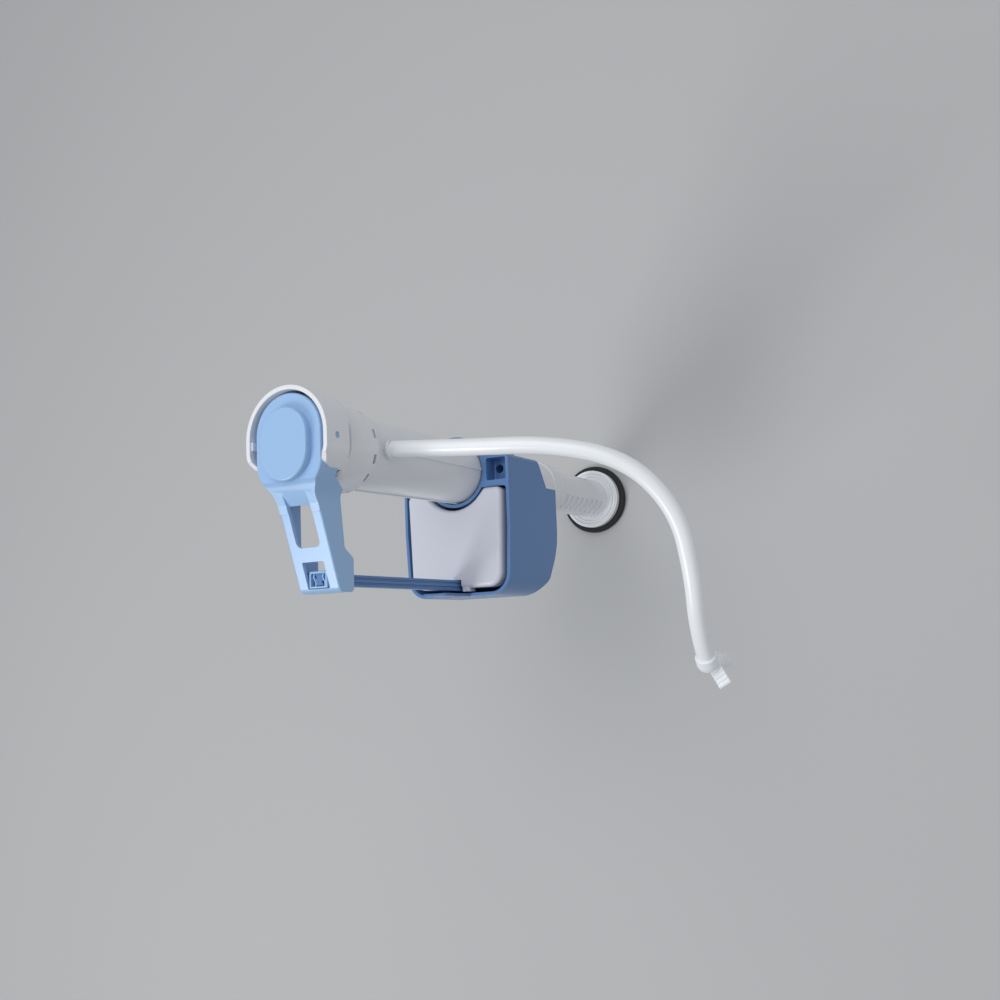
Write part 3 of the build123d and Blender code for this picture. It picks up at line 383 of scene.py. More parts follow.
def build_riser(sizes):
    """Threaded shank, ridged flange and notched riser: a profile turned about the axis, with the
    thread cut as r - depth * saw(z / pitch - turn), and wedge-shaped notches taken out."""
    fine = [(SHANK_R, z) for z in np.arange(-50.8, -32.05, PITCH / 8)]
    upper = [(SHANK_R, z) for z in np.arange(-29.9, 3.9, PITCH / 8)]
    r, flange = sizes.riser_radius / MM, sizes.flange_radius / MM
    ridges = [(flange - 1.05, 8.05), (flange - 1.1, 8.9), (flange - 2.2, 8.9), (flange - 2.25, 8.0),
              (flange - 3.35, 8.0), (flange - 3.4, 8.9), (flange - 4.5, 8.9), (flange - 4.55, 8.0)]
    profile = [(6.0, -36.0), (6.0, -37.5), (6.5, -37.5), (6.5, -52.0), (9.9, -52.0), *fine,
               (10.2, -32.0), (10.2, -30.0), *upper, (SHANK_R, 4.0), (flange, 4.0), (flange, 8.0), *ridges,
               (r + 1.2, 8.0), (r, 9.2), (r, 150.0), (r - 2.5, 150.0), (r - 2.5, 5.0), (5.0, 5.0),
               (5.0, -36.0)]
    riser = lathe("riser", profile, 0.0, 160, 0, shank_turn)
    cutters, faces = [], []
    for column in (-40, 140, 230):
        for step in range(16):
            low = 16.0 + 7.6 * step
            section = [(r + 1.7, low - 0.5), (r + 1.7, low + 3.4), (r, low + 3.1), (r - 1.1, low + 2.5),
                       (r - 1.1, low + 0.25), (r, low)]
            angle = np.radians(column + np.linspace(-23, 23, 9))
            reach, z = np.array(section).T
            rows = np.stack([np.outer(np.cos(angle), reach), np.outer(np.sin(angle), reach),
                             np.tile(z, (9, 1))], -1)
            start = len(cutters) * rows[..., 0].size
            quads = grid_faces(9, len(section), False)
            faces += (quads + start).tolist()
            faces.append([start + i for i in range(len(section))][::-1])
            faces.append([start + 8 * len(section) + i for i in range(len(section))])
            cutters.append(rows.reshape(-1, 3))
    notches = mesh_object("notches", np.concatenate(cutters), faces)
    shape(riser, [notches])
    return finish(riser, "white_plastic", "base", "lower_riser")


def build_seal(sizes):
    """Rubber tank washer with rounded rims and a spigot: a profile turned about the axis."""
    r = sizes.seal_radius / MM
    profile = [(11.15, -3.0), (13.6, -3.0), (13.6, 0.0), (r, 0.0), (r, 4.0), (11.15, 4.0)]
    seal = lathe("seal", profile, [0, 0.6, 0.3, 0.9, 0.9, 0], 96, 5)
    return finish(seal, "black_rubber", "base", "seal_washer")


def build_nut_washer():
    """Flat washer under the tank nut: a rounded rectangle turned about the axis."""
    profile = [(11.16, -12.6), (18.0, -12.6), (18.0, -11.0), (11.16, -11.0)]
    disc = lathe("nut_washer_disc", profile, 0.3, 96, 3)
    return finish(disc, "nut_plastic", "nut_washer", "friction_washer")


def build_tank_nut():
    """Hexagonal nut with a round flange and a plain round bore."""
    corners = [(15 / cos(pi / 6) * cos(radians(60 * i + 30)), 15 / cos(pi / 6) * sin(radians(60 * i + 30)))
               for i in range(6)]
    nut = prism("tank_nut_hex", corners, 1.5, -23.6, -12.7, (1.4, 0.4))
    flange = lathe("flange", [(0, -15.1), (18.5, -15.1), (18.5, -12.6), (0, -12.6)], [0, 0.7, 0.5, 0], 96, 4)
    bore = [(11.16, z) for z in np.arange(-25.0, -11.0, PITCH / 8)]
    hole = lathe("bore", [(0, -25.0), *bore, (0, -11.1)], 0.0, 96, 0)
    join(nut, [flange])
    shape(nut, [hole])
    return finish(nut, "nut_plastic", "tank_nut", "lock_nut")


def build_lock_ring(sizes):
    """Lock ring: rounded shoulder, a shallow waist and a parting line down one side."""
    r = sizes.ring_radius / MM
    profile = [(14.0, 81.0), (r, 81.0), (r, 86.6), (r - 0.25, 87.0), (r - 0.25, 87.5), (r, 87.9),
               (r, 97.9), (16.4, 97.9), (16.4, 87.0), (14.0, 87.0)]
    bend = [0.3, 2.0, 0.3, 0.2, 0.2, 0.3, 1.1, 0.2, 0.2, 0.2]
    ring = lathe("lock_ring", profile, bend, 128, 6)
    a = radians(-32)
    seam = lathe("seam", [(0, 0), (0.22, 0), (0.22, 20), (0, 20)], 0.0, 10, 1,
                 along(((r + 0.08) * cos(a), (r + 0.08) * sin(a), 80.0), (0, 0, 1)))
    shape(ring, [seam])
    return finish(ring, "white_plastic", "ring", "height_lock_ring")


def build_body_tube(sizes):
    """Long cone with four rounded ribs, a neck for the lock ring and the valve chamber.

    The cone's radius grows evenly from the lower to the upper radius between heights 98 and 298.
    """
    low, top = sizes.body_low_radius / MM, sizes.body_top_radius / MM
    profile = [(14.0, 88.0), (low - 0.7, 88.0), (low - 0.7, 98.0), (low, 98.0), (top, 298.0), (top, 309.5),
               (top - 2.5, 309.5), (top - 2.5, 298.0), (top - 3.5, 298.0), (low - 1.9, 104.0), (14.0, 104.0)]
    bend = [0.3, 0.3, 0.15, 0.6, 0.0, 0.5, 0.3, 0.3, 0.3, 0.3, 0.3]
    tube = lathe("body_tube_cone", profile, bend, 160, 4)
    ribs = []
    for quarter_turn in range(4):
        a = quarter_turn * pi / 2
        out, across = np.array([cos(a), sin(a), 0]), np.array([-sin(a), cos(a), 0])
        section = rounded([(-1.2, -0.75), (0.9, -0.75), (0.9, 0.75), (-1.2, 0.75)],
                          [0.1, 0.45, 0.45, 0.1], 0.0, 5)
        rows = []
        for z, lift in ((156.0, -1.0), (156.0, -0.25), (156.25, 0.0), (295.75, 0.0), (296.0, -0.25),
                        (296.0, -1.0)):
            reach = low + (top - low) * (z - 98.0) / 200.0 + section[:, :1] + lift
            rows.append(reach * out + section[:, 1:] * across + np.array([0, 0, z]))
        ribs.append(surface("rib", rows))
    join(tube, ribs)
    hole = drum("hole", 4.3, 10.0, 30.0)
    hole.data.transform(Matrix.Translation((0, 0, NOZZLE_Z * MM)) @ Matrix.Rotation(pi / 2, 4, "Y"))
    shape(tube, [hole])
    return finish(tube, "white_plastic", "valve_body", "body_tube")


def build_nozzle():
    """Refill nozzle: plug, collar with a rounded rim and a barbed spigot, turned about X."""
    profile = [(1.9, 18.0), (4.27, 18.0), (4.27, 21.6), (5.6, 21.6), (5.6, 23.0), (3.1, 23.0),
               (3.1, 27.5), (3.35, 27.9), (2.95, 30.4), (3.3, 30.8), (2.6, 34.0), (1.9, 34.0)]
    bend = [0.0, 0.2, 0.2, 0.45, 0.45, 0.2, 0.1, 0.1, 0.1, 0.1, 0.2, 0.1]
    nozzle = lathe("nozzle", profile, bend, 64, 4, along_x(0.0, NOZZLE_Z))
    return finish(nozzle, "white_plastic", "valve_body", "refill_nozzle")


# ---------------------------------------------------------------- head


def head_outline(half, front, back, front_r, steps=20):
    """Plan of the head with a half-round back; a circle when front_r equals half."""
    points = [(-half, front), (half, front), (half, back), (-half, back)]
    bend = [front_r, front_r, half, half]
    return rounded(points, bend, 0.0, steps)


def round_plan(radius):
    """Circle with the same number of points as the head's plan."""
    return head_outline(radius, -radius, radius, radius)


def head_plan(half_width, inset):
    """Upper plan at an inset from the outside."""
    half = half_width - inset
    return head_outline(half, -17.0 + inset, 1.8 + half, 13.0 - inset)


def build_head(sizes):
    """Head shell: round skirt flaring into an open housing with a thick rounded rim."""
    half, wall = sizes.head_half_width / MM, sizes.head_wall / MM
    levels = [(round_plan(20.8), 303.0), (round_plan(22.0), 303.0), (round_plan(22.6), 303.5),
              (round_plan(22.6), 325.2)]
    for t in np.linspace(0.0, 1.0, 8):
        s = t * t * (3 - 2 * t)
        levels.append((round_plan(22.6) * (1 - s) + head_plan(half, 0) * s, 325.6 + 5.0 * t))
    levels += [(head_plan(half, inset), z) for inset, z in (
        (0, 332.0), (0, 350.05), (0.12, 350.35), (0.45, 350.5), (wall - 0.4, 350.5), (wall - 0.1, 350.35),
        (wall, 350.1), (wall, 331.6), (wall + 0.4, 331.0))]
    levels += [(round_plan(19.6), 331.0), (round_plan(19.6), 326.0), (round_plan(20.8), 326.0)]
    outlines, heights = zip(*levels)
    shell = surface("head", stack(outlines, heights), closed=True)
    front = prism("front", [(-19.3, -30.0), (19.3, -30.0), (19.3, -1.0), (-19.3, -1.0)], 1.0, 331.5, 353.0,
                  (0.4, 0.0))
    falling_rim = [(-13.0, 347.0), (-15.4, 340.0), (-16.8, 333.0), (-32.0, 333.0), (-32.0, 356.0),
                   (-7.5, 356.0), (-8.5, 350.5)]
    fall = prism("fall", falling_rim, [4.0, 6.0, 0.5, 0.5, 0.5, 0.5, 2.0], -40.0, 40.0, axes="yzx")
    tools = [front, fall]
    for side in (-1, 1):
        hole = lathe("hole", [(0, 18), (1.75, 18), (1.75, 30), (0, 30)], 0.0, 32, 1,
                     along(PIVOT, (side, 0, 0)))
        tools.append(hole)
    for angle in (-46, -18, 17, 55, 91, 127, 163, 199, 235, 275):
        a = radians(angle)
        u, v = np.array([cos(a), sin(a), 0]), np.array([-sin(a), cos(a), 0])
        section = rounded([(-2.5, -1.1), (2.5, -1.1), (2.5, 1.1), (-2.5, 1.1)], 0.5, 0.0, 4)
        rows = [u * reach + section[:, :1] * v + section[:, 1:] * np.array([0, 0, 1.0]) + (0, 0, 305.4)
                for reach in (19.6, 26.0)]
        tools.append(surface("snap", rows))
    crescent = [(-11.5, 332.4), (-6.0, 330.6), (-1.0, 330.1), (4.5, 330.6), (9.5, 332.4)]
    for low, high in ((24.3, 28.0), (-28.0, -24.3)):
        tools.append(prism("moon", crescent, 0.1, low, high, axes="yzx"))
    shape(shell, tools)
    tab = block("tab", (-24.2, -22.6), (-3.0, 1.6), (333.0, 349.2), 0.4)
    join(shell, [tab])
    return finish(shell, "white_plastic", "valve_body", "head_shell")


# ---------------------------------------------------------------- lever, clip and rod


def stadium(half, front, back):
    """Corners of the oblong that becomes a stadium once its ends are fully rounded."""
    return [(-half, front), (half, front), (half, back), (-half, back)]


def arm_top(y):
    """Height of the arm's upper face at y."""
    return 341.5 + (y + 32.0) * 0.364


def build_lever(sizes):
    """Lever: two-tier cap with soft edges that narrows into the arm, a sunken ramp between two
    rails, a long window, a clip window and a deep end box."""
    cap_x, arm_x = sizes.cap_half_width / MM, sizes.arm_half_width / MM
    plan = [(-arm_x, -36.0), (arm_x, -36.0), (arm_x, -27.0), (cap_x, -15.0), (cap_x, 24.0), (-cap_x, 24.0),
            (-cap_x, -15.0), (-arm_x, -27.0)]
    bend = [1.3, 1.3, 8.0, 15.0, cap_x - 0.01, cap_x - 0.01, 15.0, 8.0]
    cap = prism("lever", plan, bend, 334.9, 349.0, (0.5, 1.2), steps=20)
    slope_bend = [0.3, 0.3, 0.3, 6.0, 10.0, 6.0]
    over = [(-19.0, 360.0), (-45.0, 360.0), (-45.0, 337.0), (-32.0, 341.9), (-22.0, 347.6), (-19.0, 350.5)]
    shape(cap, [prism("over", over, slope_bend, -30.0, 30.0, axes="yzx")])
    end = -75.6
    side_view = [(end, 313.7), (-58.0, 313.7), (-53.1, 320.8), (-23.8, 324.0), (-20.4, 335.0), (-20.0, 345.5),
                 (-32.0, arm_top(-32.0)), (end, arm_top(end))]
    arm = prism("arm", side_view, [2.5, 2.5, 2.5, 2.0, 1.0, 1.0, 9.0, 3.6], -arm_x, arm_x, (0.9, 0.9), "yzx")
    inner = [(end + 2.2, 312.0), (-55.6, 312.0), (-51.0, 319.0), (-18.0, 322.5), (-17.0, 334.0),
             (-19.0, 342.6), (-32.0, arm_top(-32.0) - 2.4), (end + 2.2, arm_top(end + 2.2) - 2.4)]
    slim, wide = arm_x - 2.2, cap_x - 2.2
    hollow_arm = prism("hollow arm", inner, 0.5, -slim, slim, (0.3, 0.3), "yzx")
    inner_plan = [(-slim, -33.0), (slim, -33.0), (slim, -26.0), (wide, -14.0), (wide, 21.8), (-wide, 21.8),
                  (-wide, -14.0), (-slim, -26.0)]
    inner_bend = [1.0, 1.0, 9.0, 13.0, wide - 0.01, wide - 0.01, 13.0, 9.0]
    hollow_cap = prism("hollow cap", inner_plan, inner_bend, 333.5, 346.6, (0.1, 0.8), steps=20)
    roof = [(-18.0, 360.0), (-45.0, 360.0), (-45.0, 334.4), (-32.0, 339.3), (-22.0, 345.0), (-18.0, 347.5)]
    shape(hollow_cap, [prism("roof", roof, slope_bend, -30.0, 30.0, axes="yzx")])
    tier = prism("tier", stadium(14.8, -21.0, 16.5), 14.79, 347.5, 353.0, (0.1, 1.2), steps=20)
    join(cap, [arm])
    shape(cap, [hollow_cap, hollow_arm])
    neck = prism("neck", plan, bend, 323.9, 336.0, (0.5, 0.0), steps=20)
    rear = [(-24.1, 320.0), (40.0, 320.0), (40.0, 335.0), (-18.4, 335.0), (-23.9, 324.6)]
    shape(neck, [prism("rear", rear, 0.1, -40.0, 40.0, axes="yzx"),
                 prism("neck inside", inner_plan, inner_bend, 318.0, 340.0, steps=20),
                 block("neck mouth", (-slim, slim), (-40.0, -27.0), (318.0, 340.0))])
    join(cap, [neck])
    join(cap, [tier])
    ramp = [(-36.0, 336.4), (-23.4, 347.4), (-22.2, 349.2), (-22.2, 357.0), (-36.0, 352.0)]
    window = [(-7.6, -53.0), (7.6, -53.0), (7.6, -32.0), (-7.6, -32.0)]
    short_wall = [(-55.0, 316.0), (-27.0, 316.0), (-29.0, 327.0), (-55.0, 327.0)]
    clip_window = [(-7.0, -73.5), (7.0, -73.5), (7.0, -60.0), (-7.0, -60.0)]
    tools = [prism("ramp", ramp, [0.4, 2.0, 0.6, 0.4, 0.4], -7.6, 7.6, (0.7, 0.7), "yzx"),
             prism("window", window, [3.0, 3.0, 1.0, 1.0], 300.0, 351.0),
             prism("short wall", short_wall, 0.8, -14.0, -10.0, axes="yzx"),
             prism("clip window", clip_window, 0.8, 300.0, 345.0)]
    for side in (-1, 1):
        xs = sorted((side * 12.1, side * 9.7))
        tools.append(block("peg slot", xs, (-70.6, -64.4), (319.2, 322.8), 0.4))
    shape(cap, tools)
    trunnions = []
    for side in (-1, 1):
        profile = [(0, 18.6), (4.6, 18.6), (4.6, 22.8), (1.7, 22.8), (1.7, 25.5), (0, 25.5)]
        bend = [0, 0.1, 0.5, 0.2, 0.4, 0]
        trunnions.append(lathe("trunnion", profile, bend, 48, 4, along(PIVOT, (side, 0, 0))))
    boss = drum("boss", 4.4, 334.8, 347.5, (0.0, 12.0), 0.3, 40)
    join(cap, [*trunnions, boss])
    return finish(cap, "light_blue_plastic", "lever", "lever_arm")


def build_clip():
    """Rod clip: a frame round the rod, two S-shaped spring fingers that bear on it, and two pegs."""
    clip = block("clip", (-5.9, 5.9), (-73.2, -64.4), (312.5, 327.3), 0.7)
    hole = block("hole", (-4.7, 4.7), (-72.3, -65.7), (317.0, 329.0), 0.4)
    lower = block("lower", (-2.45, 2.45), (-72.05, -65.55), (311.0, 318.0), 0.2)
    shape(clip, [hole, lower])
    extra = []
    along_y = np.linspace(0.0, 1.0, 15)
    for side in (-1, 1):
        bow = side * 2.9 + 0.75 * np.sin(2 * pi * along_y)
        across = rounded([(-0.45, 316.5), (0.45, 316.5), (0.45, 326.4), (-0.45, 326.4)], 0.3, 0.0, 3)
        rows = np.empty((15, len(across), 3))
        rows[..., 0] = bow[:, None] + across[:, 0]
        rows[..., 1] = -72.6 + 7.2 * along_y[:, None]
        rows[..., 2] = across[:, 1]
        extra.append(surface("finger", rows))
        extra.append(lathe("peg", [(0, 5.0), (1.4, 5.0), (1.4, 11.7), (0, 11.7)], [0, 0, 0.3, 0], 32, 3,
                           along((0, ROD_Y, 321.0), (side, 0, 0))))
    join(clip, extra)
    return finish(clip, "light_blue_plastic", "clip", "rod_clip")


def build_rod():
    """Flat bar with two grooves down each wide face and a rounded top."""
    x, y, g = 2.3, 3.1, 0.7
    outline = [(-x, -y), (x, -y)]
    for place in (-1.24, 1.24):
        outline += [(x, place - 0.6), (x - g, place - 0.35), (x - g, place + 0.35), (x, place + 0.6)]
    outline += [(x, y), (-x, y)]
    for place in (1.24, -1.24):
        outline += [(-x, place + 0.6), (-x + g, place + 0.35), (-x + g, place - 0.35), (-x, place - 0.6)]
    points = np.array(outline) + (0, ROD_Y)
    rod = prism("rod", points, 0.1, 188.0, 326.3, (0.08, 0.08), steps=2)
    return finish(rod, "deep_blue_plastic", "float_rod", "adjuster_rod")


# ---------------------------------------------------------------- float and cup


def notch_corner(radius, angle, back):
    """Where the line that touches a circle at an angle crosses y = back."""
    a = radians(angle)
    t = (back - radius * sin(a)) / cos(a)
    return radius * cos(a) - t * sin(a)


def float_outline(inset):
    """Float's plan: tapered, rounded, with a round notch for the body in its back edge."""
    reach = notch_corner(23.4, -42, -11.5)
    apex = -23.4 / sin(radians(42))
    points = [(-31.3, -70.5), (31.3, -70.5), (33.2, -11.5), (reach, -11.5), (0.0, apex), (-reach, -11.5),
              (-33.2, -11.5)]
    return rounded(points, [9.0, 9.0, 4.0, 2.45, 23.4, 2.45, 4.0], inset, 12)


def build_float(sizes):
    """Float: a thin tub, open underneath, with a rounded top edge and a socket for the rod."""
    skin = [(0.0, 158.0), (0.0, 195.5)]
    skin += [(2.45 * (1 - cos(t)), 195.5 + 2.5 * sin(t)) for t in np.linspace(0.15, pi / 2, 7)]
    wall = sizes.float_wall / MM
    body = surface("float_tub", stack([float_outline(i) for i, _ in skin], [z for _, z in skin]))
    hollow = surface("hollow", stack([float_outline(wall), float_outline(wall), float_outline(wall + 0.6)],
                                     [157.0, 195.6, 196.4]))
    shape(body, [hollow])
    tower = block("tower", (-5.6, 5.6), (-70.4, -63.8), (186.4, 197.0), 0.4)
    join(body, [tower])
    socket = block("socket", (-4.0, 4.0), (-73.0, -65.4), (188.0, 200.0), 0.5)
    shape(body, [socket])
    jaws = [block("jaw", sorted((s * 2.3, s * 4.6)), (-70.5, -65.0), (187.0, 192.0), 0.4) for s in (-1, 1)]
    tab = block("tab", (4.2, 9.0), (-72.6, -69.0), (190.0, 197.2), 0.4)
    join(body, [*jaws, tab])
    return finish(body, "float_plastic", "float_rod", "float")


def build_cup(sizes):
    """Float cup: a tapering tub with a stepped keel, a collar round the body and two ears whose
    pockets hold a drain hole, and a guide tongue on the front wall."""
    plan = [(-35.6, -75.5), (35.6, -75.5), (37.5, -35.0), (37.5, 8.0), (-37.5, 8.0), (-37.5, -35.0)]
    cup = prism("cup_shell", plan, [13.0, 13.0, 30.0, 3.0, 3.0, 30.0], 134.0, 195.0, (2.5, 0.45), steps=12)
    keel = [(-90.0, 100.0), (-36.0, 100.0), (-36.0, 134.0), (-52.0, 138.5), (-66.0, 145.5), (-76.5, 158.0),
            (-90.0, 174.0)]
    keel_bend = [0.0, 0.0, 0.0, 12.0, 10.0, 8.0, 0.0]
    wall = sizes.cup_wall / MM
    front, back = 35.6 - wall, 37.5 - wall
    inner_plan = [(-front, wall - 75.5), (front, wall - 75.5), (back, -35.0), (back, -11.0), (-back, -11.0),
                  (-back, -35.0)]
    inner_bend = [11.0, 11.0, 30.0, 2.0, 2.0, 30.0]
    inner = prism("inner", inner_plan, inner_bend, 134.0 + wall, 199.0, (1.8, 0.0), steps=12)
    lifted = [(y + wall, z + wall) for y, z in keel]
    shape(inner, [prism("keel", lifted, keel_bend, -50.0, 50.0, axes="yzx"),
                  drum("collar", 21.6, 130.0, 205.0)])
    tools = [prism("keel", keel, keel_bend, -50.0, 50.0, axes="yzx"), inner,
             prism("under ears", [(-9.0, 100.0), (30.0, 100.0), (30.0, 172.0), (-9.0, 148.0)], 0.1,
                   -50.0, 50.0, axes="yzx")]
    shape(cup, tools)
    collar = [(0, 148.0), (21.6, 148.0), (21.6, 195.0), (0, 195.0)]
    join(cup, [lathe("collar", collar, [0, 0.8, 0.45, 0], 128, 4)])
    tools = [drum("bore", 19.6, 156.0, 200.0, around=128), drum("seat", 18.0, 120.0, 157.0, around=128),
             drum("drain", 4.0, 130.0, 140.0, (18.0, -29.5), around=48)]
    for side in (-1, 1):
        xs = sorted((side * 22.4, side * 35.7))
        pocket = [(xs[0], -7.2), (xs[1], -7.2), (xs[1], 6.2), (xs[0], 6.2)]
        tools.append(prism("pocket", pocket, 1.2, 185.0, 199.0, (0.8, 0.0)))
        tools.append(drum("pocket hole", 2.6, 140.0, 190.0, (side * 26.0, 0.5), around=40))
    shape(cup, tools)
    tongue = prism("tongue", [(-8.0, 193.5), (8.0, 193.5), (8.0, 222.0), (-8.0, 222.0)], [0.1, 0.1, 2.0, 2.0],
                   -75.5, -73.9, (0.35, 0.35), "xzy")
    lugs = [block("lug", sorted((18.0 + s * 5.3, 18.0 + s * 6.9)), (-23.0, -19.0), (131.1, 134.6), 0.4)
            for s in (-1, 1)]
    join(cup, [tongue, *lugs])
    tools = [prism("slot", [(s * 3.6 - 1.0, 197.5), (s * 3.6 + 1.0, 197.5), (s * 3.6 + 1.0, 206.0),
                            (s * 3.6 - 1.0, 206.0)], 0.6, -77.0, -72.0, axes="xzy") for s in (-1, 1)]
    tools.append(lathe("pin hole", [(0, 9.0), (0.95, 9.0), (0.95, 27.0), (0, 27.0)], 0.0, 24, 1,
                       along_x(-21.0, 133.1)))
    shape(cup, tools)
    return finish(cup, "deep_blue_plastic", "valve_body", "float_cup")


# ---------------------------------------------------------------- hose and elbow

HOSE_ROUTE = ((23.0, 0.0, 291.0), (66.0, -4.2, 291.0), (113.0, -7.2, 285.5), (149.5, -17.5, 273.5),
              (169.5, -43.5, 261.5), (172.0, -75.5, 252.5), (168.5, -100.5, 241.5), (166.8, -114.5, 228.5))


def build_elbow():
    """Overflow elbow: hose socket, round knob, ribbed outlet and a clip finger."""
    end, before = np.array(HOSE_ROUTE[-1]), np.array(HOSE_ROUTE[-2])
    way = (end - before) / np.linalg.norm(end - before)
    knob = end + way * 4.5
    socket = lathe("overflow_elbow_piece", [(0, 0), (5.6, 0), (5.6, 4.5), (0, 4.5)], [0, 0.7, 0.3, 0], 48, 4,
                   along(end, way))
    arc = [(5.6 * cos(t), 5.6 * sin(t)) for t in np.linspace(-pi / 2, pi / 2, 20)]
    ball = lathe("ball", arc, 0.0, 48, 0, lambda rows: rows + knob)
    outlet = [(0, -26.0), (3.3, -26.0), (4.0, -25.0), (4.0, -9.4), (5.6, -9.0), (5.6, -8.2), (4.3, -7.9),
              (4.3, -5.5), (5.6, -5.2), (5.6, -4.4), (4.6, -3.6), (0, -3.6)]
    spout = lathe("spout", outlet, 0.12, 48, 2, lambda rows: rows + knob)
    join(socket, [ball, spout])
    a = radians(-60)
    out, across = np.array([cos(a), sin(a), 0]), np.array([-sin(a), cos(a), 0])
    section = rounded([(-3.5, 0), (3.5, 0), (3.5, 1.8), (-3.5, 1.8)], 0.4, 0.0, 4)
    fingers = []
    stations = [(0.0, 0.0), (9.5, 0.0), (12.6, 0.0), (13.9, 0.0)]
    rows = [knob + out * s + section[:, :1] * across + (section[:, 1:] + lift) * np.array([0, 0, 1.0])
            + (0, 0, -7.0) for s, lift in stations]
    fingers.append(surface("finger", rows))
    for s in (6.5, 8.7, 10.9, 13.0):
        ridge = rounded([(-0.45, 1.5), (0.45, 1.5), (0.45, 2.5), (-0.45, 2.5)], 0.25, 0.0, 3)
        rows = [knob + out * (s + ridge[:, :1]) + across * reach + ridge[:, 1:] * np.array([0, 0, 1.0])
                + (0, 0, -7.0) for reach in (-3.3, 3.3)]
        fingers.append(surface("ridge", rows))
    join(socket, fingers)
    bore = lathe("bore", [(0, -27.0), (2.2, -27.0), (2.2, 0.0), (0, 0.0)], 0.0, 32, 1,
                 lambda rows: rows + knob)
    shape(socket, [bore])
    return finish(socket, "hose_plastic", "valve_body", "overflow_elbow")


def build_hose(sizes, elbow):
    """Refill hose: one smooth spline with the route's points as its control points."""
    curve = bpy.data.curves.new("refill_hose_line", "CURVE")
    curve.dimensions = "3D"
    line = curve.splines.new("NURBS")
    line.points.add(len(HOSE_ROUTE) - 1)
    for point, place in zip(line.points, HOSE_ROUTE):
        point.co = (*(c * MM for c in place), 1.0)
    line.order_u = 3
    line.use_endpoint_u = True
    line.resolution_u = 24
    curve.bevel_depth = sizes.hose_diameter / 2
    curve.bevel_resolution = 8
    curve.use_fill_caps = True
    hose = bpy.data.objects.new("hose", curve)
    bpy.context.scene.collection.objects.link(hose)
    curve.materials.append(material("hose_plastic"))
    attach(hose, "valve_body")
    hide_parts("refill_hose")
    return hose


# ---------------------------------------------------------------- stage


def build_stage():
    """Camera, three soft lights and a plain pale floor at the level of the tank's floor."""
    camera = bpy.data.objects.new("camera", bpy.data.cameras.new("camera"))
    camera.location = (0.38893, -0.10654, 0.80780)
    camera.rotation_euler = tuple(radians(a) for a in (5.678, 30.518, -2.554))
    camera.data.lens = 43.452
    camera.data.sensor_width = 36
    camera.data.clip_start = 0.01
    bpy.context.scene.collection.objects.link(camera)
    bpy.context.scene.camera = camera
    floor = mesh_object("floor", [(-4000, -4000, -0.2), (4000, -4000, -0.2), (4000, 4000, -0.2),
                                  (-4000, 4000, -0.2)], [[0, 1, 2, 3]])
    tone = bpy.data.materials.new("floor")
    tone.use_nodes = True
    shader = tone.node_tree.nodes["Principled BSDF"]
    shader.inputs["Base Color"].default_value = (0.50, 0.505, 0.51, 1)
    shader.inputs["Roughness"].default_value = 0.75
    floor.data.materials.append(tone)
    lamps = (("key", (-0.6, -0.7, 1.2), 0.5, 6.3), ("top", (0.0, 0.5, 1.5), 1.2, 7.5),
             ("fill", (1.2, 0.2, 0.8), 1.0, 1.5))
    for name, place, size, power in lamps:
        light = bpy.data.lights.new(name, "AREA")
        light.size = size
        light.energy = power
        lamp = bpy.data.objects.new(name, light)
        lamp.location = place
        aim = Vector((0.02, -0.03, 0.2)) - Vector(place)
        lamp.rotation_euler = aim.to_track_quat("-Z", "Y").to_euler()
        bpy.context.scene.collection.objects.link(lamp)
    world = bpy.data.worlds.new("studio")
    world.use_nodes = True
    world.node_tree.nodes["Background"].inputs["Color"].default_value = (0.93, 0.96, 1.0, 1)
    world.node_tree.nodes["Background"].inputs["Strength"].default_value = 0.42
    bpy.context.scene.world = world
    bpy.context.scene.view_settings.view_transform = "Standard"


KEPT = {
    "inner_plastic": ("supply_tube", "valve_seat", "diaphragm_core", "pilot_cover", "inlet_strainer",
                      "flow_restrictor"),
    "black_rubber": ("supply_orings",),
    "grey_rubber": ("diaphragm", "anti_siphon_ring", "pilot_pad", "cup_drain_flap"),
}


# ---------------------------------------------------------------- add-on


def length(label, description, default):
    """A size in metres."""
    return bpy.props.FloatProperty(name=label, description=description, default=default, min=0.0005, max=0.2,
                                   unit="LENGTH", precision=4)


def tint(label, description, default):
    """A surface colour, as it looks on the screen."""
    return bpy.props.FloatVectorProperty(name=label, description=description, default=default, size=3,
                                         min=0.0, max=1.0, subtype="COLOR_GAMMA")


class FillValveSizes(bpy.types.PropertyGroup):
    """Sizes of the valve's visible pieces."""
    riser_radius: length("Riser radius", "Outer radius of the notched riser", 0.0138)
    flange_radius: length("Flange radius", "Radius of the flange over the tank washer", 0.021)
    seal_radius: length("Washer radius", "Outer radius of the rubber tank washer", 0.0246)
    ring_radius: length("Lock ring radius", "Outer radius of the height lock ring", 0.0177)
    body_low_radius: length("Body lower radius", "Radius of the body's cone over the lock ring", 0.017)
    body_top_radius: length("Body upper radius", "Radius of the body's cone under the head", 0.0199)
    head_half_width: length("Head half width", "Half of the head shell's width", 0.026)
    head_wall: length("Head wall", "Wall of the head shell's upper part", 0.0024)
    cap_half_width: length("Cap half width", "Half of the lever cap's width", 0.0208)
    arm_half_width: length("Arm half width", "Half of the lever arm's width", 0.0129)
    float_wall: length("Float wall", "Wall of the float", 0.0016)
    cup_wall: length("Cup wall", "Wall of the float cup", 0.002)
    hose_diameter: length("Hose diameter", "Outer diameter of the refill hose", 0.009)


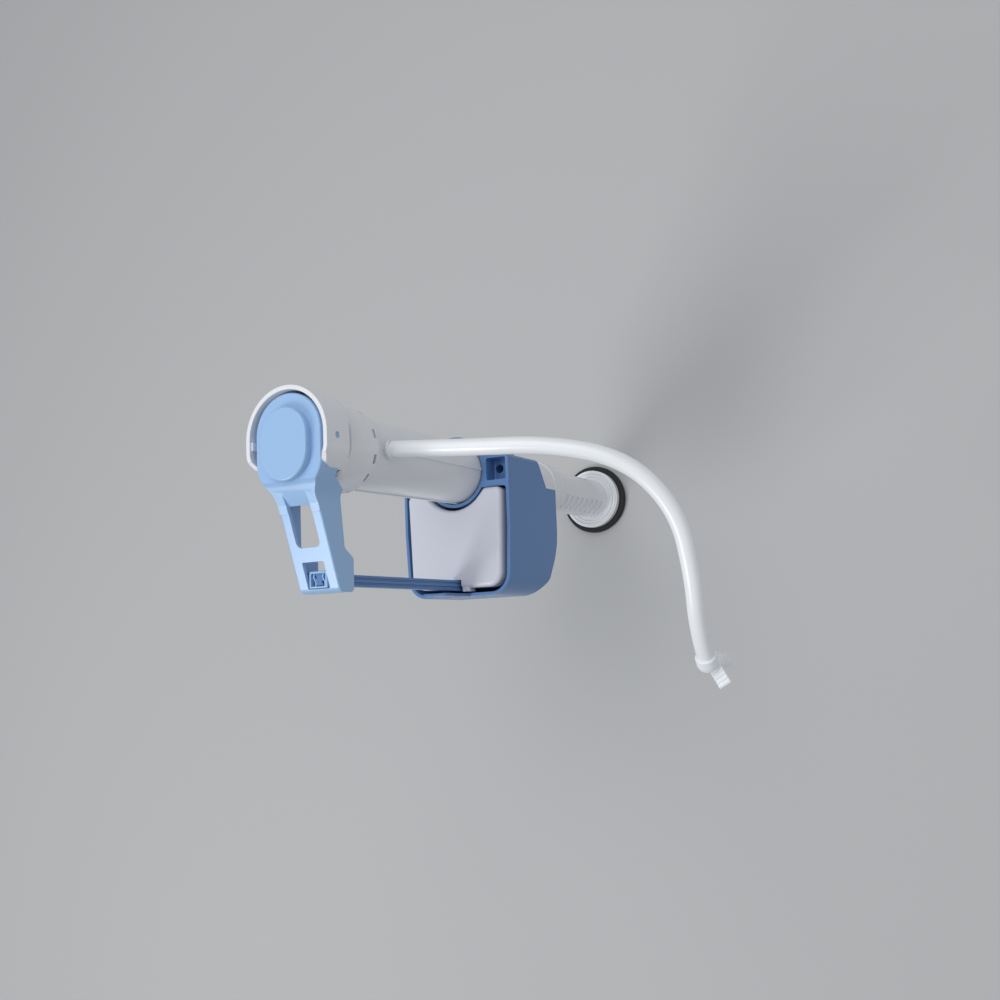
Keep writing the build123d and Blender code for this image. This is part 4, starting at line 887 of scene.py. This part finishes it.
class FillValveColours(bpy.types.PropertyGroup):
    """Colours of the valve's plastics and rubbers."""
    white_plastic: tint("White", "Body, head, riser and nozzle", (0.905, 0.912, 0.925))
    inner_plastic: tint("Inner white", "Pieces inside the body", (0.86, 0.865, 0.87))
    nut_plastic: tint("Nut white", "Tank nut and its washer", (0.87, 0.87, 0.86))
    hose_plastic: tint("Hose white", "Refill hose and its elbow", (0.915, 0.92, 0.935))
    light_blue_plastic: tint("Light blue", "Lever and rod clip", (0.505, 0.64, 0.845))
    deep_blue_plastic: tint("Deep blue", "Adjuster rod and float cup", (0.285, 0.435, 0.665))
    float_plastic: tint("Float grey", "Float", (0.60, 0.60, 0.665))
    black_rubber: tint("Black rubber", "Tank washer and sliding seals", (0.055, 0.055, 0.06))
    grey_rubber: tint("Grey rubber", "Diaphragm, pilot pad, ring and drain flap", (0.24, 0.24, 0.25))


class FILLVALVE_OT_stage(bpy.types.Operator):
    """Place the camera, the soft lights and the pale floor"""
    bl_idname = "fill_valve.stage"
    bl_label = "Stage"

    def execute(self, context):
        build_stage()
        return {"FINISHED"}


class FILLVALVE_OT_hose(bpy.types.Operator):
    """Build the refill hose and its overflow elbow"""
    bl_idname = "fill_valve.hose"
    bl_label = "Refill hose and elbow"

    def execute(self, context):
        build_hose(context.scene.fill_valve_sizes, build_elbow())
        return {"FINISHED"}


class FILLVALVE_OT_riser(bpy.types.Operator):
    """Build the threaded shank with its ridged flange and notched riser"""
    bl_idname = "fill_valve.riser"
    bl_label = "Riser"

    def execute(self, context):
        build_riser(context.scene.fill_valve_sizes)
        return {"FINISHED"}


class FILLVALVE_OT_tank_fittings(bpy.types.Operator):
    """Build the tank washer, the nut's washer and the tank nut"""
    bl_idname = "fill_valve.tank_fittings"
    bl_label = "Tank washer and nut"

    def execute(self, context):
        build_seal(context.scene.fill_valve_sizes)
        build_nut_washer()
        build_tank_nut()
        return {"FINISHED"}


class FILLVALVE_OT_lock_ring(bpy.types.Operator):
    """Build the height lock ring"""
    bl_idname = "fill_valve.lock_ring"
    bl_label = "Lock ring"

    def execute(self, context):
        build_lock_ring(context.scene.fill_valve_sizes)
        return {"FINISHED"}


class FILLVALVE_OT_body(bpy.types.Operator):
    """Build the ribbed body tube and its refill nozzle"""
    bl_idname = "fill_valve.body"
    bl_label = "Body and nozzle"

    def execute(self, context):
        build_body_tube(context.scene.fill_valve_sizes)
        build_nozzle()
        return {"FINISHED"}


class FILLVALVE_OT_head(bpy.types.Operator):
    """Build the head shell with its thick falling rim"""
    bl_idname = "fill_valve.head"
    bl_label = "Head shell"

    def execute(self, context):
        build_head(context.scene.fill_valve_sizes)
        return {"FINISHED"}


class FILLVALVE_OT_lever(bpy.types.Operator):
    """Build the lever with its two-tier cap"""
    bl_idname = "fill_valve.lever"
    bl_label = "Lever"

    def execute(self, context):
        build_lever(context.scene.fill_valve_sizes)
        return {"FINISHED"}


class FILLVALVE_OT_adjuster(bpy.types.Operator):
    """Build the adjuster rod and the clip that grips it"""
    bl_idname = "fill_valve.adjuster"
    bl_label = "Adjuster rod and clip"

    def execute(self, context):
        build_clip()
        build_rod()
        return {"FINISHED"}


class FILLVALVE_OT_float(bpy.types.Operator):
    """Build the float"""
    bl_idname = "fill_valve.float"
    bl_label = "Float"

    def execute(self, context):
        build_float(context.scene.fill_valve_sizes)
        return {"FINISHED"}


class FILLVALVE_OT_cup(bpy.types.Operator):
    """Build the cup that holds water round the float"""
    bl_idname = "fill_valve.cup"
    bl_label = "Float cup"

    def execute(self, context):
        build_cup(context.scene.fill_valve_sizes)
        return {"FINISHED"}


class FILLVALVE_OT_inner_pieces(bpy.types.Operator):
    """Give the pieces inside the body their plastics and rubbers"""
    bl_idname = "fill_valve.inner_pieces"
    bl_label = "Inner pieces"

    def execute(self, context):
        for finish_name, nodes in KEPT.items():
            for name in nodes:
                dress(name, finish_name)
        return {"FINISHED"}


BUILD_ORDER = (FILLVALVE_OT_stage, FILLVALVE_OT_hose, FILLVALVE_OT_riser, FILLVALVE_OT_tank_fittings,
               FILLVALVE_OT_lock_ring, FILLVALVE_OT_body, FILLVALVE_OT_head, FILLVALVE_OT_lever,
               FILLVALVE_OT_adjuster, FILLVALVE_OT_float, FILLVALVE_OT_cup, FILLVALVE_OT_inner_pieces)


class FILLVALVE_PT_pieces(bpy.types.Panel):
    """Lists the sizes, the colours and a button for each group of pieces."""
    bl_idname = "FILLVALVE_PT_pieces"
    bl_label = "Fill valve"
    bl_space_type = "VIEW_3D"
    bl_region_type = "UI"
    bl_category = "Fill Valve"

    def draw(self, context):
        scene = context.scene
        for title, group in (("Sizes", scene.fill_valve_sizes), ("Colours", scene.fill_valve_colours)):
            box = self.layout.box()
            box.label(text=title)
            for name in type(group).__annotations__:
                box.prop(group, name)
        column = self.layout.column(align=True)
        for operator in BUILD_ORDER:
            column.operator(operator.bl_idname)


CLASSES = (FillValveSizes, FillValveColours, *BUILD_ORDER, FILLVALVE_PT_pieces)


def register():
    """Adds the classes, and the sizes and colours that a scene carries."""
    for kind in CLASSES:
        bpy.utils.register_class(kind)
    bpy.types.Scene.fill_valve_sizes = bpy.props.PointerProperty(type=FillValveSizes)
    bpy.types.Scene.fill_valve_colours = bpy.props.PointerProperty(type=FillValveColours)


def unregister():
    """Takes the classes, sizes and colours away again."""
    del bpy.types.Scene.fill_valve_colours
    del bpy.types.Scene.fill_valve_sizes
    for kind in reversed(CLASSES):
        bpy.utils.unregister_class(kind)


def main():
    """Builds every piece in order."""
    register()
    bpy.ops.fill_valve.stage()
    bpy.ops.fill_valve.hose()
    bpy.ops.fill_valve.riser()
    bpy.ops.fill_valve.tank_fittings()
    bpy.ops.fill_valve.lock_ring()
    bpy.ops.fill_valve.body()
    bpy.ops.fill_valve.head()
    bpy.ops.fill_valve.lever()
    bpy.ops.fill_valve.adjuster()
    bpy.ops.fill_valve.float()
    bpy.ops.fill_valve.cup()
    bpy.ops.fill_valve.inner_pieces()


if __name__ == "__main__":
    main()
